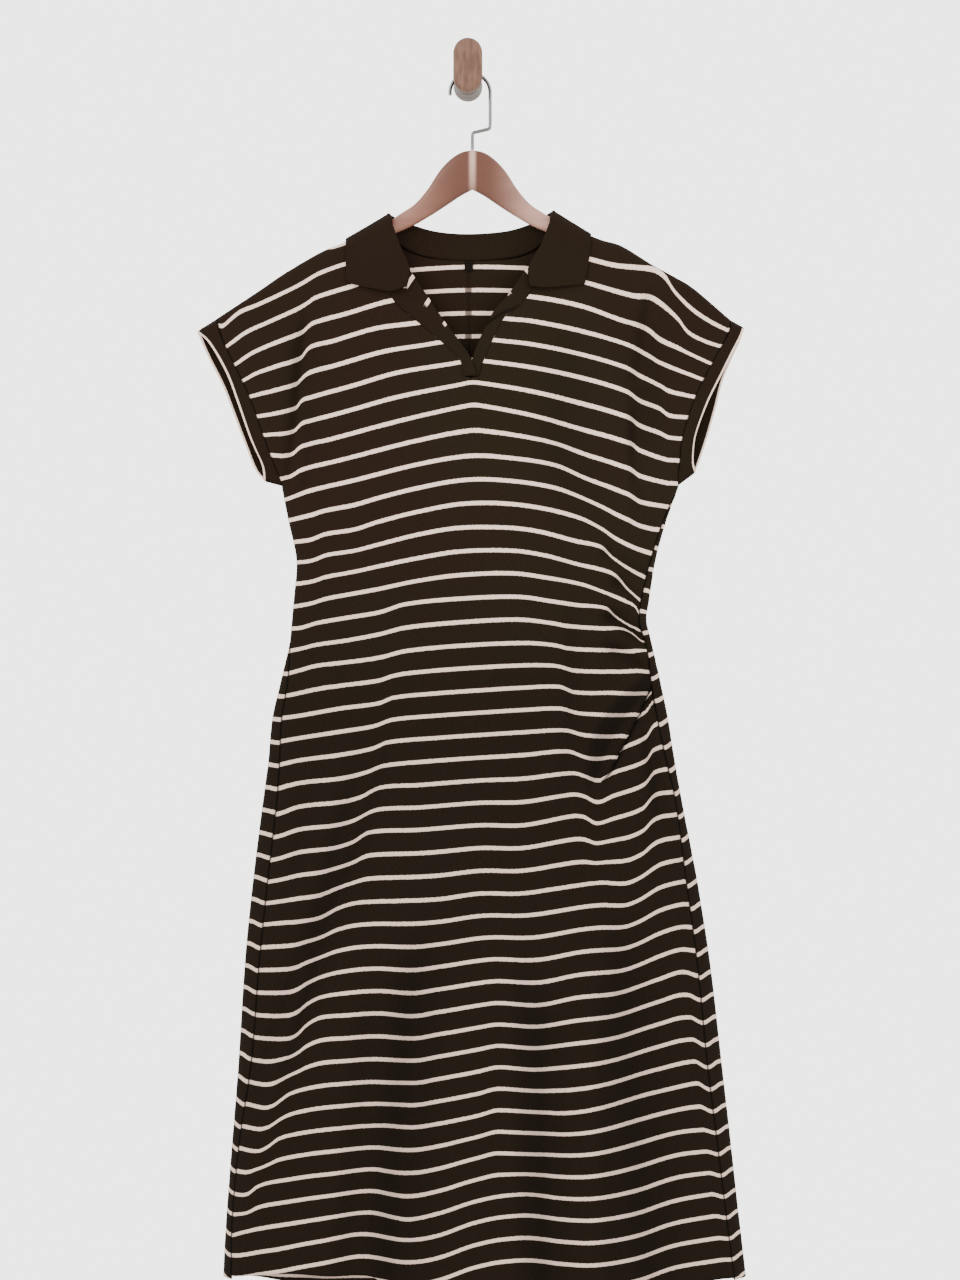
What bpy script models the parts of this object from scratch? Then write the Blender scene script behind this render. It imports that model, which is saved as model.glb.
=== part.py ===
"""A knitted polo dress on a wooden hanger, hung by its hook from a wooden wall peg.

Lengths in the tables are millimetres and the model is in metres, with +Z up.
The origin is the centre of the peg's back face, which lies on the wall plane y = 0.
The front of the dress faces -Y, and left and right are the viewer's.
"""

import math

import bmesh
import bpy
import numpy as np
from mathutils import Matrix, Vector

MM = 0.001

# Driving sizes
CLOTH = 2.0  # knit wall
RIB = 2.0  # collar, bands and placket wall
SEAM_GAP = 0.35  # from a seam's middle line to each piece
HANGER_PLANE = -26.0  # y of the hanger, the shoulder ridge and the side folds
SHOULDER_RADIUS = 7.5  # inside of the cloth where it bends over the hanger
HEM_HEIGHT = -1321.0
UNDERARM_HEIGHT = -449.0
SLOPE = 1.15  # height of a wall over its thickness, on the sloping shoulder
FLAT_DEPTH = 9.0  # folds reach their full depth this far from the hanger plane
EDGE_SHARPNESS = 5.0  # how flat a level section is before it turns at its side

# Level sections of the body. left and right are the outline; left_wrap and right_wrap say how far
# the back comes round to the front; front and back are the depths each side of the hanger plane.
SECTION_COLUMNS = ("height", "left", "right", "left_wrap", "right_wrap", "front", "back")
SECTIONS = (
    (-1321, -271, 308, 9, 13, 28, 17),
    (-1260, -268, 301, 7, 14, 28, 17),
    (-1171, -261, 291, 8, 15, 27, 16),
    (-1083, -254, 281, 14, 16, 26, 16),
    (-972, -247, 268, 16, 14, 24, 15),
    (-883, -238, 254, 16, 12, 22, 14),
    (-795, -227, 237, 15, 7, 20, 13.5),
    (-750, -221, 229, 12, 9, 18, 13.5),
    (-706, -217, 222, 10, 11, 17, 13.2),
    (-662, -207, 213, 7, 9, 16, 13),
    (-618, -197, 203, 0, 6, 14, 12),
    (-595, -195, 198, 0, 8, 14, 11.5),
    (-573, -193, 201, 0, 8, 14, 11),
    (-529, -190, 208, 0, 5, 15, 11),
    (-485, -199, 220, 0, 3, 16, 12),
    (-449, -206, 233, 0, 0, 16, 12),
)

# How far the hem hangs below its two corners
HEM_COLUMNS = ("x", "front", "back")
HEM = (
    (-271, 0, 0),
    (-235, -4, 6),
    (-197, -5, 8),
    (-75, 11, 10),
    (35, 14, 12),
    (145, 18, 14),
    (190, 15, 12),
    (272, 0, 4),
    (308, 0, 0),
)

# The middle of each half: the centre-back seam, and the line below the neck slit in front
CENTRE_COLUMNS = ("height", "x")
CENTRE = ((-1321, 18), (-900, 9), (-449, 4), (-150, 4))

# Outer shoulder lines, from the armhole seam to the neck
SHOULDER_LEFT = (
    (-277, -261), (-233, -232), (-199, -209), (-161, -187), (-134, -175.5), (-105, -161), (-77, -144.3),
)
SHOULDER_RIGHT = (
    (289, -262), (250, -228.5), (230, -216), (205, -202.5), (190, -193), (168, -180), (146, -173.5),
    (124, -164), (94, -147), (84, -140),
)

# Armholes from the shoulder to the underarm: the seam of the band, and its open edge on each layer
ARMHOLE_COLUMNS = ("seam_x", "seam_z", "edge_x", "edge_z", "back_edge_x", "back_edge_z")
ARMHOLE_LEFT = (
    (-277, -261, -299, -277, -299, -277),
    (-272, -283, -286, -289, -288, -304),
    (-259, -312, -267, -322, -273, -334),
    (-241, -350, -254, -356, -262, -362),
    (-226, -392, -240, -395, -251, -391),
    (-216, -419, -228, -422, -237, -426),
    (-206, -449, -226, -440, -226, -440),
)
ARMHOLE_RIGHT = (
    (289, -262, 305, -273, 305, -273),
    (288, -278, 299, -287, 300, -289),
    (270, -312, 281, -323, 284, -327),
    (251, -350, 264, -357, 275, -361),
    (237, -394, 251, -393, 266, -392),
    (234, -423, 249, -417, 257, -417),
    (233, -449, 252, -430, 252, -430),
)

UNDERARM_LIFT = 3.2  # clears the bands of the side seams below them
BAND_OPENING = 9.0  # from the hanger plane to a band's open edge
ARMHOLE_FLARE = 45.0  # how far into the panel the armhole holds the layers apart

# The neck slit: its panel edge, and the open edge of the placket, from the squared end upward
SLIT_COLUMNS = ("edge_x", "edge_z", "open_x", "open_z")
SLIT_BOTTOM = (3.5, -328.5)
SLIT_LEFT = (
    (-5.3, -327, 3.0, -327),
    (-11, -306, 0.5, -302),
    (-47, -274, -24, -266),
    (-82, -243, -53, -222),
    (-88, -216, -68, -202),
)
SLIT_RIGHT = (
    (12.3, -327, 4.0, -327),
    (17.3, -310, 6.5, -303),
    (39, -264, 27, -258),
    (57, -249, 46, -235),
    (75, -222, 64, -209),
)
PLACKET_TOP = 14.0  # how far above the table's last row the placket may end
PLACKET_ROLL = 2.5  # how far its open edge rolls inward
NECK_LEFT_TOP = (-77, -146.6)
NECK_RIGHT_TOP = (84, -142.5)

# The back neck edge, from the left shoulder to the right
BACK_NECK = (
    (-77, -146.6), (-75.5, -168), (-63, -185), (-40, -193.5), (4, -197),
    (46, -193.5), (70, -186), (82, -165), (84, -142.5),
)

# Folds, each a bent line from start through middle to end. A negative depth is a trough.
# open_end is 1 where the fold runs into a seam or the hem at full depth.
FOLD_COLUMNS = ("x0", "z0", "x1", "z1", "x2", "z2", "width", "depth", "open_end")
FRONT_FOLDS = (
    (-91, -684, -151, -925, -252, -1211, 21, -5, 0),
    (-30, -900, -62, -1100, -78, -1345, 26, -7, 1),
    (-118, -930, -140, -1120, -158, -1345, 24, 5, 1),
    (38, -880, 44, -1100, 50, -1345, 25, 6, 1),
    (86, -960, 90, -1130, 92, -1345, 20, -5, 1),
    (128, -900, 134, -1130, 142, -1345, 24, 5, 1),
    (170, -880, 190, -1100, 214, -1345, 26, -6, 1),
    (-172, -235, -178, -340, -184, -450, 16, -4, 0),
    (205, -232, 200, -340, 188, -450, 18, -4, 0),
    (128, -262, 112, -390, 152, -545, 24, -3, 0),
    (148, -515, 163, -531, 199, -550, 8, -3, 1),
    (160, -546, 173, -562, 193, -578, 8, -4, 1),
    (158, -567, 176, -583, 194, -597, 8, 4, 1),
    (150, -582, 170, -602, 197, -621, 9, -6, 1),
    (150, -603, 174, -620, 198, -639, 8, 4, 1),
    (144, -622, 176, -636, 200, -657, 8, -5, 1),
    (138, -800, 158, -735, 202, -672, 11, -6, 1),
    (120, -770, 146, -700, 198, -655, 11, 4, 1),
)
BACK_FOLDS = (
    (88, -690, 150, -930, 232, -1200, 22, -4, 0),
    (30, -900, 58, -1100, 74, -1345, 26, -5, 1),
    (-45, -900, -52, -1100, -60, -1345, 24, 4, 1),
    (-130, -900, -142, -1120, -160, -1345, 24, -5, 1),
    (140, -960, 150, -1130, 160, -1345, 22, 4, 1),
    (176, -240, 178, -340, 180, -450, 17, -3, 0),
    (-168, -240, -172, -340, -172, -450, 17, -3, 0),
    (150, -590, 172, -605, 197, -622, 9, -3, 1),
    (146, -625, 174, -640, 200, -660, 9, -3, 1),
)

# Spacing of the levels: from this height up to the next, in this many steps
LEVELS = ((-1321, 11), (-840, 6), (-700, 12), (-575, 4), (-449, 0))
# Shares of the armhole, shoulder and neck lines at which the rows above the underarm lie
SLIT_ROW = 4  # how many of them lie below the slit's opening
UPPER_ROWS = (
    0.09, 0.18, 0.275, 0.36, 0.40, 0.47, 0.55, 0.64, 0.74, 0.84, 0.92, 0.96, 0.982, 0.994, 1.0,
)
FRONT_LEFT_COLUMNS = 12
FRONT_RIGHT_COLUMNS = 16
FRONT_RIGHT_CLOSE = 8  # of which this many lie close together beside the gathered seam
FRONT_RIGHT_CLOSE_SHARE = 0.30
BACK_NECK_SHARE = 0.6  # share of a back's columns that end at the shoulder, the rest at the neck
BACK_TURNED_COLUMNS = (0.0, 0.03, 0.07, 0.13)  # those that come round the side
BACK_SHOULDER_COLUMNS = 5
BACK_NECK_COLUMNS = (0.0, 0.045, 0.24, 0.5, 0.75, 1.0)

# Collar, half by half, from the centre back round to the front end: the sewn edge, the fold and the
# free edge, each as x, y, z. Across says which way the fold turns, as a plan angle in degrees.
COLLAR_COLUMNS = (
    "face", "seam_x", "seam_y", "seam_z", "fold_x", "fold_y", "fold_z", "edge_x", "edge_z", "across",
)
COLLAR_LEFT = (
    ("back", 4, -15.2, -196.2, 4, -14.0, -168, 4, -217, 90),
    ("back", -36, -15.2, -192.8, -34, -14.2, -165.5, -46, -215, 95),
    ("back", -60.6, -16.9, -182.2, -62, -14.6, -158, -92, -203, 110),
    ("back", -72, -18.6, -164, -76, -16.5, -149, -122, -190, 140),
    ("back", -72.6, -18.6, -149.6, -80, -17.6, -145, -129, -181, 152),
    ("back", -73.4, -21.6, -142.6, -85, -21.5, -143.2, -133, -175.5, 165),
    ("ridge", -74.8, -26, -141.5, -86, -26, -143.2, -134, -173, 180),
    ("front", -74.8, -30, -142.5, -85.5, -33, -143.4, -134.5, -176, 200),
    ("front", -75.2, -34.5, -153, -83.5, -39.5, -153, -134.5, -182.5, 222),
    ("front", -76.5, -36, -164, -82, -40.6, -162, -134.5, -189, 240),
    ("front", -81, -38, -186, -76, -42.6, -186, -134.5, -204, 255),
    ("front", -77, -40.2, -210, -66.5, -43.6, -208, -134, -219, 262),
    ("front", -72, -41.2, -229, -64.5, -43.6, -228, -133, -227, 265),
)
COLLAR_RIGHT = (
    ("back", 4, -15.2, -196.2, 4, -14.0, -168, 4, -217, 90),
    ("back", 42, -15.2, -192.8, 42, -14.2, -165, 54, -215, 85),
    ("back", 66.6, -17.2, -184, 70, -14.6, -157, 98, -202, 70),
    ("back", 79, -18.6, -160, 83, -16.5, -146, 125, -184, 40),
    ("back", 79.1, -18.9, -145, 87, -17.6, -143, 131, -176.5, 28),
    ("back", 80.8, -21.6, -137.6, 91, -21.5, -141.0, 134, -171, 15),
    ("ridge", 81.8, -26, -136.5, 92, -26, -141.4, 135, -169, 0),
    ("front", 81.8, -30, -138, 92, -33, -141.6, 135.5, -171.5, -20),
    ("front", 81, -34.5, -148.5, 88.5, -39.5, -151, 135.5, -178, -42),
    ("front", 80.5, -36, -160, 86, -40.6, -160, 135, -185, -60),
    ("front", 77.5, -38, -182, 75, -42.6, -184, 133, -201, -75),
    ("front", 73, -40.2, -206, 67.5, -43.6, -206, 130.5, -217, -82),
    ("front", 74, -41.2, -224, 70, -43.6, -224, 127.5, -228, -85),
)
COLLAR_LIFT = 1.0  # the fall's clearance over the cloth
COLLAR_CHORD_START = 11.0  # past the hanger join, where the fall clears the panels' own chords
COLLAR_FOLD_RADIUS = 1.4
COLLAR_END_BULGE = 7.0  # how far the collar's end bows below the line from fold to tip

# Hanger: distance from its middle, upper edge, lower edge. Past the last row the upper edge follows
# the inside of the shoulder.
HANGER_MIDDLE = 5.0
HANGER_COLUMNS = ("distance", "top", "bottom")
HANGER = (
    (0, -75, -119), (13, -78, -126), (25, -86, -134), (37, -99, -142), (50, -119, -150), (64, -135, -158),
)
HANGER_THICKNESS = 12.0
HANGER_ARM_THICKNESS = 10.4
HANGER_ARM_HEIGHT = 16.0
HANGER_HALF_SPAN = 216.0
HANGER_JOIN = 77.0  # where the arm goes under the cloth
HANGER_SEAT = 1.0  # between the arm and the cloth it carries
HANGER_STEP = 12.0

# Hook: a wire bent round the peg
WIRE_RADIUS = 1.9
HOOK_CENTRE = (2.4, -11.7)
HOOK_RADIUS = 22.2
HOOK_START = 187.0  # degrees at the free end, counted anticlockwise from +X
HOOK_STEP = 11.0

# Wall peg: turned at the wall, hollowed for the hook, and rising to a tall front
PEG_COLUMNS = ("y", "middle", "half_width", "half_height", "squareness")
PEG = (
    (0, 0, 16.0, 16.0, 2.0),
    (-7, 0, 16.0, 16.0, 2.0),
    (-15, -2.4, 14.8, 13.8, 2.0),
    (-23, -4.1, 13.2, 11.95, 2.0),
    (-29, -4.1, 13.2, 11.95, 2.0),
    (-35, 0.4, 14.6, 16.4, 2.2),
    (-42, 8.5, 15.6, 23.6, 2.3),
    (-48, 14.6, 16.0, 29.4, 2.4),
    (-50, 15.0, 14.4, 27.6, 2.4),
)

LABEL_SIZE = (12.0, 1.0, 12.0)
LABEL_TOP = -199.0

# Colours, as linear red, green and blue
CLOTH_COLOUR = (0.028, 0.018, 0.011)
STRIPE_COLOUR = (0.70, 0.62, 0.54)
WOOD_COLOUR = (0.25, 0.09, 0.05)
PEG_COLOUR = (0.20, 0.10, 0.07)
STEEL_COLOUR = (0.72, 0.72, 0.74)


def clear_scene():
    for old in list(bpy.data.objects):
        bpy.data.objects.remove(old, do_unlink=True)


def make_material(name, colour, roughness, metallic=0.0):
    material = bpy.data.materials.new(name)
    material.use_nodes = True
    shader = material.node_tree.nodes["Principled BSDF"]
    shader.inputs["Base Color"].default_value = (*colour, 1.0)
    shader.inputs["Roughness"].default_value = roughness
    shader.inputs["Metallic"].default_value = metallic
    material.diffuse_color = (*colour, 1.0)
    return material


def read(rows, columns, name, at):
    """Smooth reading of one column of a table, by the table's first column."""
    keys = [row[0] for row in rows]
    values = [row[columns.index(name)] for row in rows]
    if keys[0] > keys[-1]:
        keys.reverse()
        values.reverse()
    at = min(max(at, keys[0]), keys[-1])
    slopes = []
    for k in range(len(keys)):
        before = max(k - 1, 0)
        after = min(k + 1, len(keys) - 1)
        slopes.append((values[after] - values[before]) / (keys[after] - keys[before]))
    k = min(max(int(np.searchsorted(keys, at)) - 1, 0), len(keys) - 2)
    span = keys[k + 1] - keys[k]
    t = (at - keys[k]) / span
    return (
        (2 * t**3 - 3 * t**2 + 1) * values[k]
        + (t**3 - 2 * t**2 + t) * span * slopes[k]
        + (3 * t**2 - 2 * t**3) * values[k + 1]
        + (t**3 - t**2) * span * slopes[k + 1]
    )


def curve(points):
    """A smooth curve through points, as closely spaced points."""
    points = [np.array(p, dtype=float) for p in points]
    ends = [2 * points[0] - points[1]] + points + [2 * points[-1] - points[-2]]
    made = []
    for k in range(1, len(ends) - 2):
        a, b, c, d = ends[k - 1 : k + 3]
        for t in np.linspace(0.0, 1.0, 12, endpoint=False):
            bent = (2 * a - 5 * b + 4 * c - d) * t**2 + (3 * b - a - 3 * c + d) * t**3
            made.append(0.5 * (2 * b + (c - a) * t + bent))
    made.append(points[-1])
    return np.array(made)


def at_share(line, share):
    """The point at a share of a line's length."""
    steps = np.linalg.norm(np.diff(line, axis=0), axis=1)
    reached = np.concatenate(([0.0], np.cumsum(steps)))
    wanted = min(max(share, 0.0), 1.0) * reached[-1]
    return np.array([np.interp(wanted, reached, line[:, k]) for k in range(line.shape[1])])


def smooth_step(value):
    value = min(max(value, 0.0), 1.0)
    return value * value * (3.0 - 2.0 * value)


def column_points(rows, columns, *names):
    return [[row[columns.index(name)] for name in names] for row in rows]


def fold_lines(folds):
    """Each fold as a bent line with its width, depth and open end."""
    made = []
    for fold in folds:
        value = dict(zip(FOLD_COLUMNS, fold))
        start = np.array((value["x0"], value["z0"]), dtype=float)
        middle = np.array((value["x1"], value["z1"]), dtype=float)
        end = np.array((value["x2"], value["z2"]), dtype=float)
        control = 2 * middle - 0.5 * (start + end)
        t = np.linspace(0.0, 1.0, 25)[:, None]
        line = (1 - t) ** 2 * start + 2 * t * (1 - t) * control + t**2 * end
        made.append((line, value["width"], value["depth"], value["open_end"]))
    return made


FRONT_LINES = fold_lines(FRONT_FOLDS)
BACK_LINES = fold_lines(BACK_FOLDS)


def fold_offset(lines, x, z):
    """How far the folds move the cloth outward at a place."""
    total = 0.0
    for line, width, depth, open_end in lines:
        distances = np.hypot(line[:, 0] - x, line[:, 1] - z)
        nearest = int(np.argmin(distances))
        share = nearest / (len(line) - 1)
        fade = smooth_step(share / 0.35)
        if not open_end:
            fade *= smooth_step((1.0 - share) / 0.35)
        total += depth * fade * math.exp(-((distances[nearest] / width) ** 2))
    return total


def section(height):
    return {name: read(SECTIONS, SECTION_COLUMNS, name, height) for name in SECTION_COLUMNS[1:]}


def half_ring(height, face):
    """The inside of one face of a level section, from the left fold to the right one, as x, y."""
    size = section(height)
    left = size["left"] + CLOTH
    right = size["right"] - CLOTH
    middle = 0.5 * (left + right)
    half = 0.5 * (right - left)
    angles = np.linspace(0.0, math.pi, 241)
    across = -np.cos(angles)
    depth = size["front"] if face == "front" else size["back"]
    sign = -1.0 if face == "front" else 1.0
    rise = np.sqrt(np.maximum(0.0, 1.0 - np.abs(across) ** EDGE_SHARPNESS))
    return np.stack((middle + half * across, HANGER_PLANE + sign * depth * rise), axis=1)


def hem_drop(x, face, height):
    """Rows near the hem follow its curve."""
    weight = max(0.0, 1.0 - (height - HEM_HEIGHT) / 260.0) ** 2
    return read(HEM, HEM_COLUMNS, face, x) * weight


def part_of(line, start_x, end_x):
    """The stretch of a level line between two places across."""
    kept = [p for p in line if start_x < p[0] < end_x]
    first = np.array((start_x, np.interp(start_x, line[:, 0], line[:, 1])))
    last = np.array((end_x, np.interp(end_x, line[:, 0], line[:, 1])))
    return np.array([first, *kept, last])


def level_line(height, side, face):
    """One half of a panel at one height, from its side seam to its centre."""
    size = section(height)
    centre = read(CENTRE, CENTRE_COLUMNS, "x", height)
    front = half_ring(height, "front")
    back = half_ring(height, "back")
    if side == "right":
        front = front[::-1] * (-1, 1)
        back = back[::-1] * (-1, 1)
        centre = -centre
        wrap = size["right_wrap"]
    else:
        wrap = size["left_wrap"]
    edge = front[0, 0]
    if face == "front":
        line = part_of(front, edge + wrap, centre)
    else:
        turned = part_of(front, edge, edge + wrap)[::-1] if wrap > 0.2 else front[:1]
        line = np.concatenate((turned, part_of(back, edge, centre - SEAM_GAP)[1:]))
    line = trimmed(line, SEAM_GAP)
    if side == "right":
        line = line * (-1, 1)
    return line


def trimmed(line, length):
    """A line less a short length at its start."""
    steps = np.linalg.norm(np.diff(line, axis=0), axis=1)
    total = float(np.sum(steps))
    reached = np.concatenate(([0.0], np.cumsum(steps)))
    first = np.array([np.interp(length, reached, line[:, k]) for k in range(line.shape[1])])
    kept = line[reached > min(length, total * 0.5)]
    return np.concatenate((first[None, :], kept))


def shoulder_height(x):
    """Inside height of the shoulder line, carried on over the neck."""
    if x <= 3.5:
        rows = SHOULDER_LEFT
    else:
        rows = SHOULDER_RIGHT
    neck = rows[-1]
    thick = CLOTH * SLOPE
    if abs(x - 3.5) < abs(neck[0] - 3.5):
        return neck[1] - thick + 0.6 * (abs(neck[0] - 3.5) - abs(x - 3.5))
    line = SHOULDER_LINES["left" if x <= 3.5 else "right"]
    order = np.argsort(line[:, 0])
    return float(np.interp(x, line[order, 0], line[order, 1])) - thick


SHOULDER_LINES = {"left": curve(SHOULDER_LEFT), "right": curve(SHOULDER_RIGHT)}
UNDERARM_RINGS = {face: half_ring(UNDERARM_HEIGHT, face) for face in ("front", "back")}


def body_y(x, z, face, lift=0.0):
    """The inside of the cloth above the underarm, or a surface that lies lift further out."""
    sign = -1.0 if face == "front" else 1.0
    ring = UNDERARM_RINGS[face]
    if ring[0, 0] < x < ring[-1, 0]:
        low = abs(float(np.interp(x, ring[:, 0], ring[:, 1])) - HANGER_PLANE)
    else:
        low = 0.0
    top = shoulder_height(x) + lift * SLOPE
    radius = SHOULDER_RADIUS + lift
    below = max(0.0, top - z)
    share = min(1.0, below / max(1.0, top - UNDERARM_HEIGHT))
    bend = math.sqrt(max(0.0, 1.0 - (1.0 - min(1.0, below / radius)) ** 2))
    across = min(1.0, abs(x - 10.0) / 230.0)
    fullness = (4.0 if face == "front" else 2.0) * math.sin(math.pi * share) * (1.0 - across**2)
    depth = (radius + (low - SHOULDER_RADIUS) * share**4 + fullness) * bend
    lines = FRONT_LINES if face == "front" else BACK_LINES
    depth += fold_offset(lines, x, z) * smooth_step(below / 40.0) * smooth_step(low / 12.0 + share)
    return HANGER_PLANE + sign * max(SEAM_GAP, depth)


def armhole_rows(side):
    return ARMHOLE_LEFT if side == "left" else ARMHOLE_RIGHT


def armhole_line(side):
    """The armhole seam from the underarm up to the shoulder, inside the wall at both ends."""
    rows = column_points(armhole_rows(side), ARMHOLE_COLUMNS, "seam_x", "seam_z")[::-1]
    sign = 1.0 if side == "left" else -1.0
    rows[0][0] += sign * CLOTH
    rows[-1][1] -= CLOTH * SLOPE
    return curve(rows)


def armhole_depth(side, face, share):
    """How far each layer stands from the hanger plane at the armhole seam."""
    x, z = at_share(ARMHOLE_LINES[side], share)
    body = abs(body_y(x, z, face) - HANGER_PLANE)
    open_depth = max(SEAM_GAP, BAND_OPENING * smooth_step(share / 0.25))
    return open_depth + (body - open_depth) * smooth_step((share - 0.35) / 0.3)


def inner_edge(side, face, share, centre_x):
    """The panel's inner side above the underarm: the centre line, then the slit and neck."""
    if face == "back":
        top = BACK_NECK[len(BACK_NECK) // 2]
        sign = -1.0 if side == "left" else 1.0
        start = np.array((centre_x + sign * SEAM_GAP, UNDERARM_HEIGHT))
        end = np.array((top[0] + sign * SEAM_GAP, top[1]))
        return start + (end - start) * share
    slit_share = UPPER_ROWS[SLIT_ROW - 1]
    if share <= slit_share + 1e-6:
        start = np.array((centre_x, UNDERARM_HEIGHT))
        return start + (np.array(SLIT_BOTTOM) - start) * (share / slit_share)
    first = UPPER_ROWS[SLIT_ROW]
    return at_share(SLIT_EDGES[side], (share - first) / (1.0 - first))


def slit_edge(side):
    rows = SLIT_LEFT if side == "left" else SLIT_RIGHT
    top = NECK_LEFT_TOP if side == "left" else NECK_RIGHT_TOP
    return curve(column_points(rows, SLIT_COLUMNS, "edge_x", "edge_z") + [list(top)])


SLIT_EDGES = {side: slit_edge(side) for side in ("left", "right")}
ARMHOLE_LINES = {side: armhole_line(side) for side in ("left", "right")}


def top_edge(side, face, share):
    """The panel's upper side: the shoulder, and for the back its half of the neck."""
    shoulder = SHOULDER_LINES[side] - (0.0, CLOTH * SLOPE)
    if face == "front":
        return at_share(shoulder, share)
    if share <= BACK_NECK_SHARE:
        return at_share(shoulder, share / BACK_NECK_SHARE)
    half = len(BACK_NECK) // 2
    points = BACK_NECK[: half + 1] if side == "left" else BACK_NECK[: half - 1 : -1]
    sign = -1.0 if side == "left" else 1.0
    neck_share = (share - BACK_NECK_SHARE) / (1.0 - BACK_NECK_SHARE)
    place = at_share(curve(points), neck_share)
    place[0] += sign * SEAM_GAP * smooth_step(neck_share)
    return place


def column_shares(side, face):
    """Where the columns lie, from the side seam to the centre."""
    if face == "front" and side == "right":
        wide = FRONT_RIGHT_COLUMNS - FRONT_RIGHT_CLOSE
        near = [FRONT_RIGHT_CLOSE_SHARE * k / FRONT_RIGHT_CLOSE for k in range(FRONT_RIGHT_CLOSE)]
        rest = 1.0 - FRONT_RIGHT_CLOSE_SHARE
        far = [FRONT_RIGHT_CLOSE_SHARE + rest * k / wide for k in range(wide + 1)]
        return near + far
    if face == "front":
        return [(k / FRONT_LEFT_COLUMNS) ** 1.15 for k in range(FRONT_LEFT_COLUMNS + 1)]
    first = BACK_TURNED_COLUMNS[-1]
    span = BACK_NECK_SHARE - first
    shoulder = [first + span * k / BACK_SHOULDER_COLUMNS for k in range(1, BACK_SHOULDER_COLUMNS)]
    neck = [BACK_NECK_SHARE + (1.0 - BACK_NECK_SHARE) * share for share in BACK_NECK_COLUMNS]
    return [*BACK_TURNED_COLUMNS, *shoulder, *neck]


def row_heights():
    made = []
    for (height, steps), (above, _) in zip(LEVELS, LEVELS[1:]):
        made += [height + (above - height) * k / steps for k in range(steps)]
    return made + [LEVELS[-1][0]]


def half_panel(side, face):
    """The inside points of one half of a panel, row by row from the hem to the shoulder."""
    shares = column_shares(side, face)
    lines = FRONT_LINES if face == "front" else BACK_LINES
    sign = -1.0 if face == "front" else 1.0
    rows = []
    for height in row_heights():
        line = level_line(height, side, face)
        row = []
        for share in shares:
            x, y = at_share(line, share)
            z = height - hem_drop(x, face, height)
            flat = min(1.0, abs(y - HANGER_PLANE) / FLAT_DEPTH)
            if (y - HANGER_PLANE) * sign > 0.0:
                y += sign * fold_offset(lines, x, z) * flat
            else:
                y -= sign * fold_offset(FRONT_LINES, x, z) * flat
            row.append((x, y, z))
        rows.append(row)
    bottom = [(p[0], p[2]) for p in rows[-1]]
    centre_x = bottom[-1][0]
    if face == "back":
        centre_x += SEAM_GAP if side == "left" else -SEAM_GAP
    for up in UPPER_ROWS:
        outer = at_share(ARMHOLE_LINES[side], up)
        flare = armhole_depth(side, face, up) - abs(body_y(outer[0], outer[1], face) - HANGER_PLANE)
        inner = inner_edge(side, face, up, centre_x)
        row = []
        for column, across in enumerate(shares):
            low = np.array(bottom[column])
            high = top_edge(side, face, across)
            flat_sum = (1 - across) * outer + across * inner + (1 - up) * low + up * high
            corners = (
                (1 - across) * (1 - up) * np.array(bottom[0])
                + across * (1 - up) * np.array(bottom[-1])
                + (1 - across) * up * top_edge(side, face, 0.0)
                + across * up * top_edge(side, face, 1.0)
            )
            x, z = flat_sum - corners
            away = math.hypot(x - outer[0], z - outer[1])
            y = body_y(x, z, face) + sign * flare * smooth_step(1.0 - away / ARMHOLE_FLARE)
            row.append((x, y, z))
        rows.append(row)
    return rows


def collection():
    made = bpy.data.collections.new("polo_dress_on_hanger")
    bpy.context.scene.collection.children.link(made)
    return made


def cloth_object(name, grids, toward, thickness, material, home, closed=False, tested=0):
    """A wall raised on grids of inside points. The tested face looks toward the given direction."""
    mesh = bpy.data.meshes.new(name)
    shape = bmesh.new()
    for grid in grids:
        made = [[shape.verts.new(Vector(p) * MM) for p in row] for row in grid]
        if closed:
            made.append(made[0])
        for low, high in zip(made, made[1:]):
            for k in range(len(low) - 1):
                shape.faces.new((low[k], low[k + 1], high[k + 1], high[k]))
    bmesh.ops.remove_doubles(shape, verts=shape.verts, dist=0.00002)
    bmesh.ops.recalc_face_normals(shape, faces=shape.faces)
    shape.faces.ensure_lookup_table()
    shape.normal_update()
    if shape.faces[tested].normal.dot(Vector(toward)) < 0.0:
        bmesh.ops.reverse_faces(shape, faces=shape.faces)
    shape.to_mesh(mesh)
    shape.free()
    made = bpy.data.objects.new(name, mesh)
    home.objects.link(made)
    wall = made.modifiers.new("wall", "SOLIDIFY")
    wall.thickness = thickness * MM
    wall.offset = 1.0
    made.data.materials.append(material)
    made.data.shade_smooth()
    return made


def loft_object(name, rings, material, home):
    """A solid through closed rings of points, capped at both ends."""
    mesh = bpy.data.meshes.new(name)
    shape = bmesh.new()
    made = [[shape.verts.new(Vector(p) * MM) for p in ring] for ring in rings]
    count = len(made[0])
    for low, high in zip(made, made[1:]):
        for k in range(count):
            shape.faces.new((low[k], low[(k + 1) % count], high[(k + 1) % count], high[k]))
    shape.faces.new(made[0][::-1])
    shape.faces.new(made[-1])
    bmesh.ops.recalc_face_normals(shape, faces=shape.faces)
    shape.to_mesh(mesh)
    shape.free()
    made = bpy.data.objects.new(name, mesh)
    home.objects.link(made)
    made.data.materials.append(material)
    made.data.shade_smooth()
    made.data.set_sharp_from_angle(angle=math.radians(35))
    return made


def rounded_ring(half_width, half_height, squareness, count):
    """A superellipse, as pairs of offsets."""
    made = []
    for k in range(count):
        angle = 2 * math.pi * (k + 0.5) / count
        c, s = math.cos(angle), math.sin(angle)
        made.append((
            half_width * math.copysign(abs(c) ** (2 / squareness), c),
            half_height * math.copysign(abs(s) ** (2 / squareness), s),
        ))
    return made


def make_front(cloth, home):
    grids = [half_panel("left", "front"), half_panel("right", "front")]
    return cloth_object("front_panel", grids, (0, -1, 0), CLOTH, cloth, home)


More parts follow.
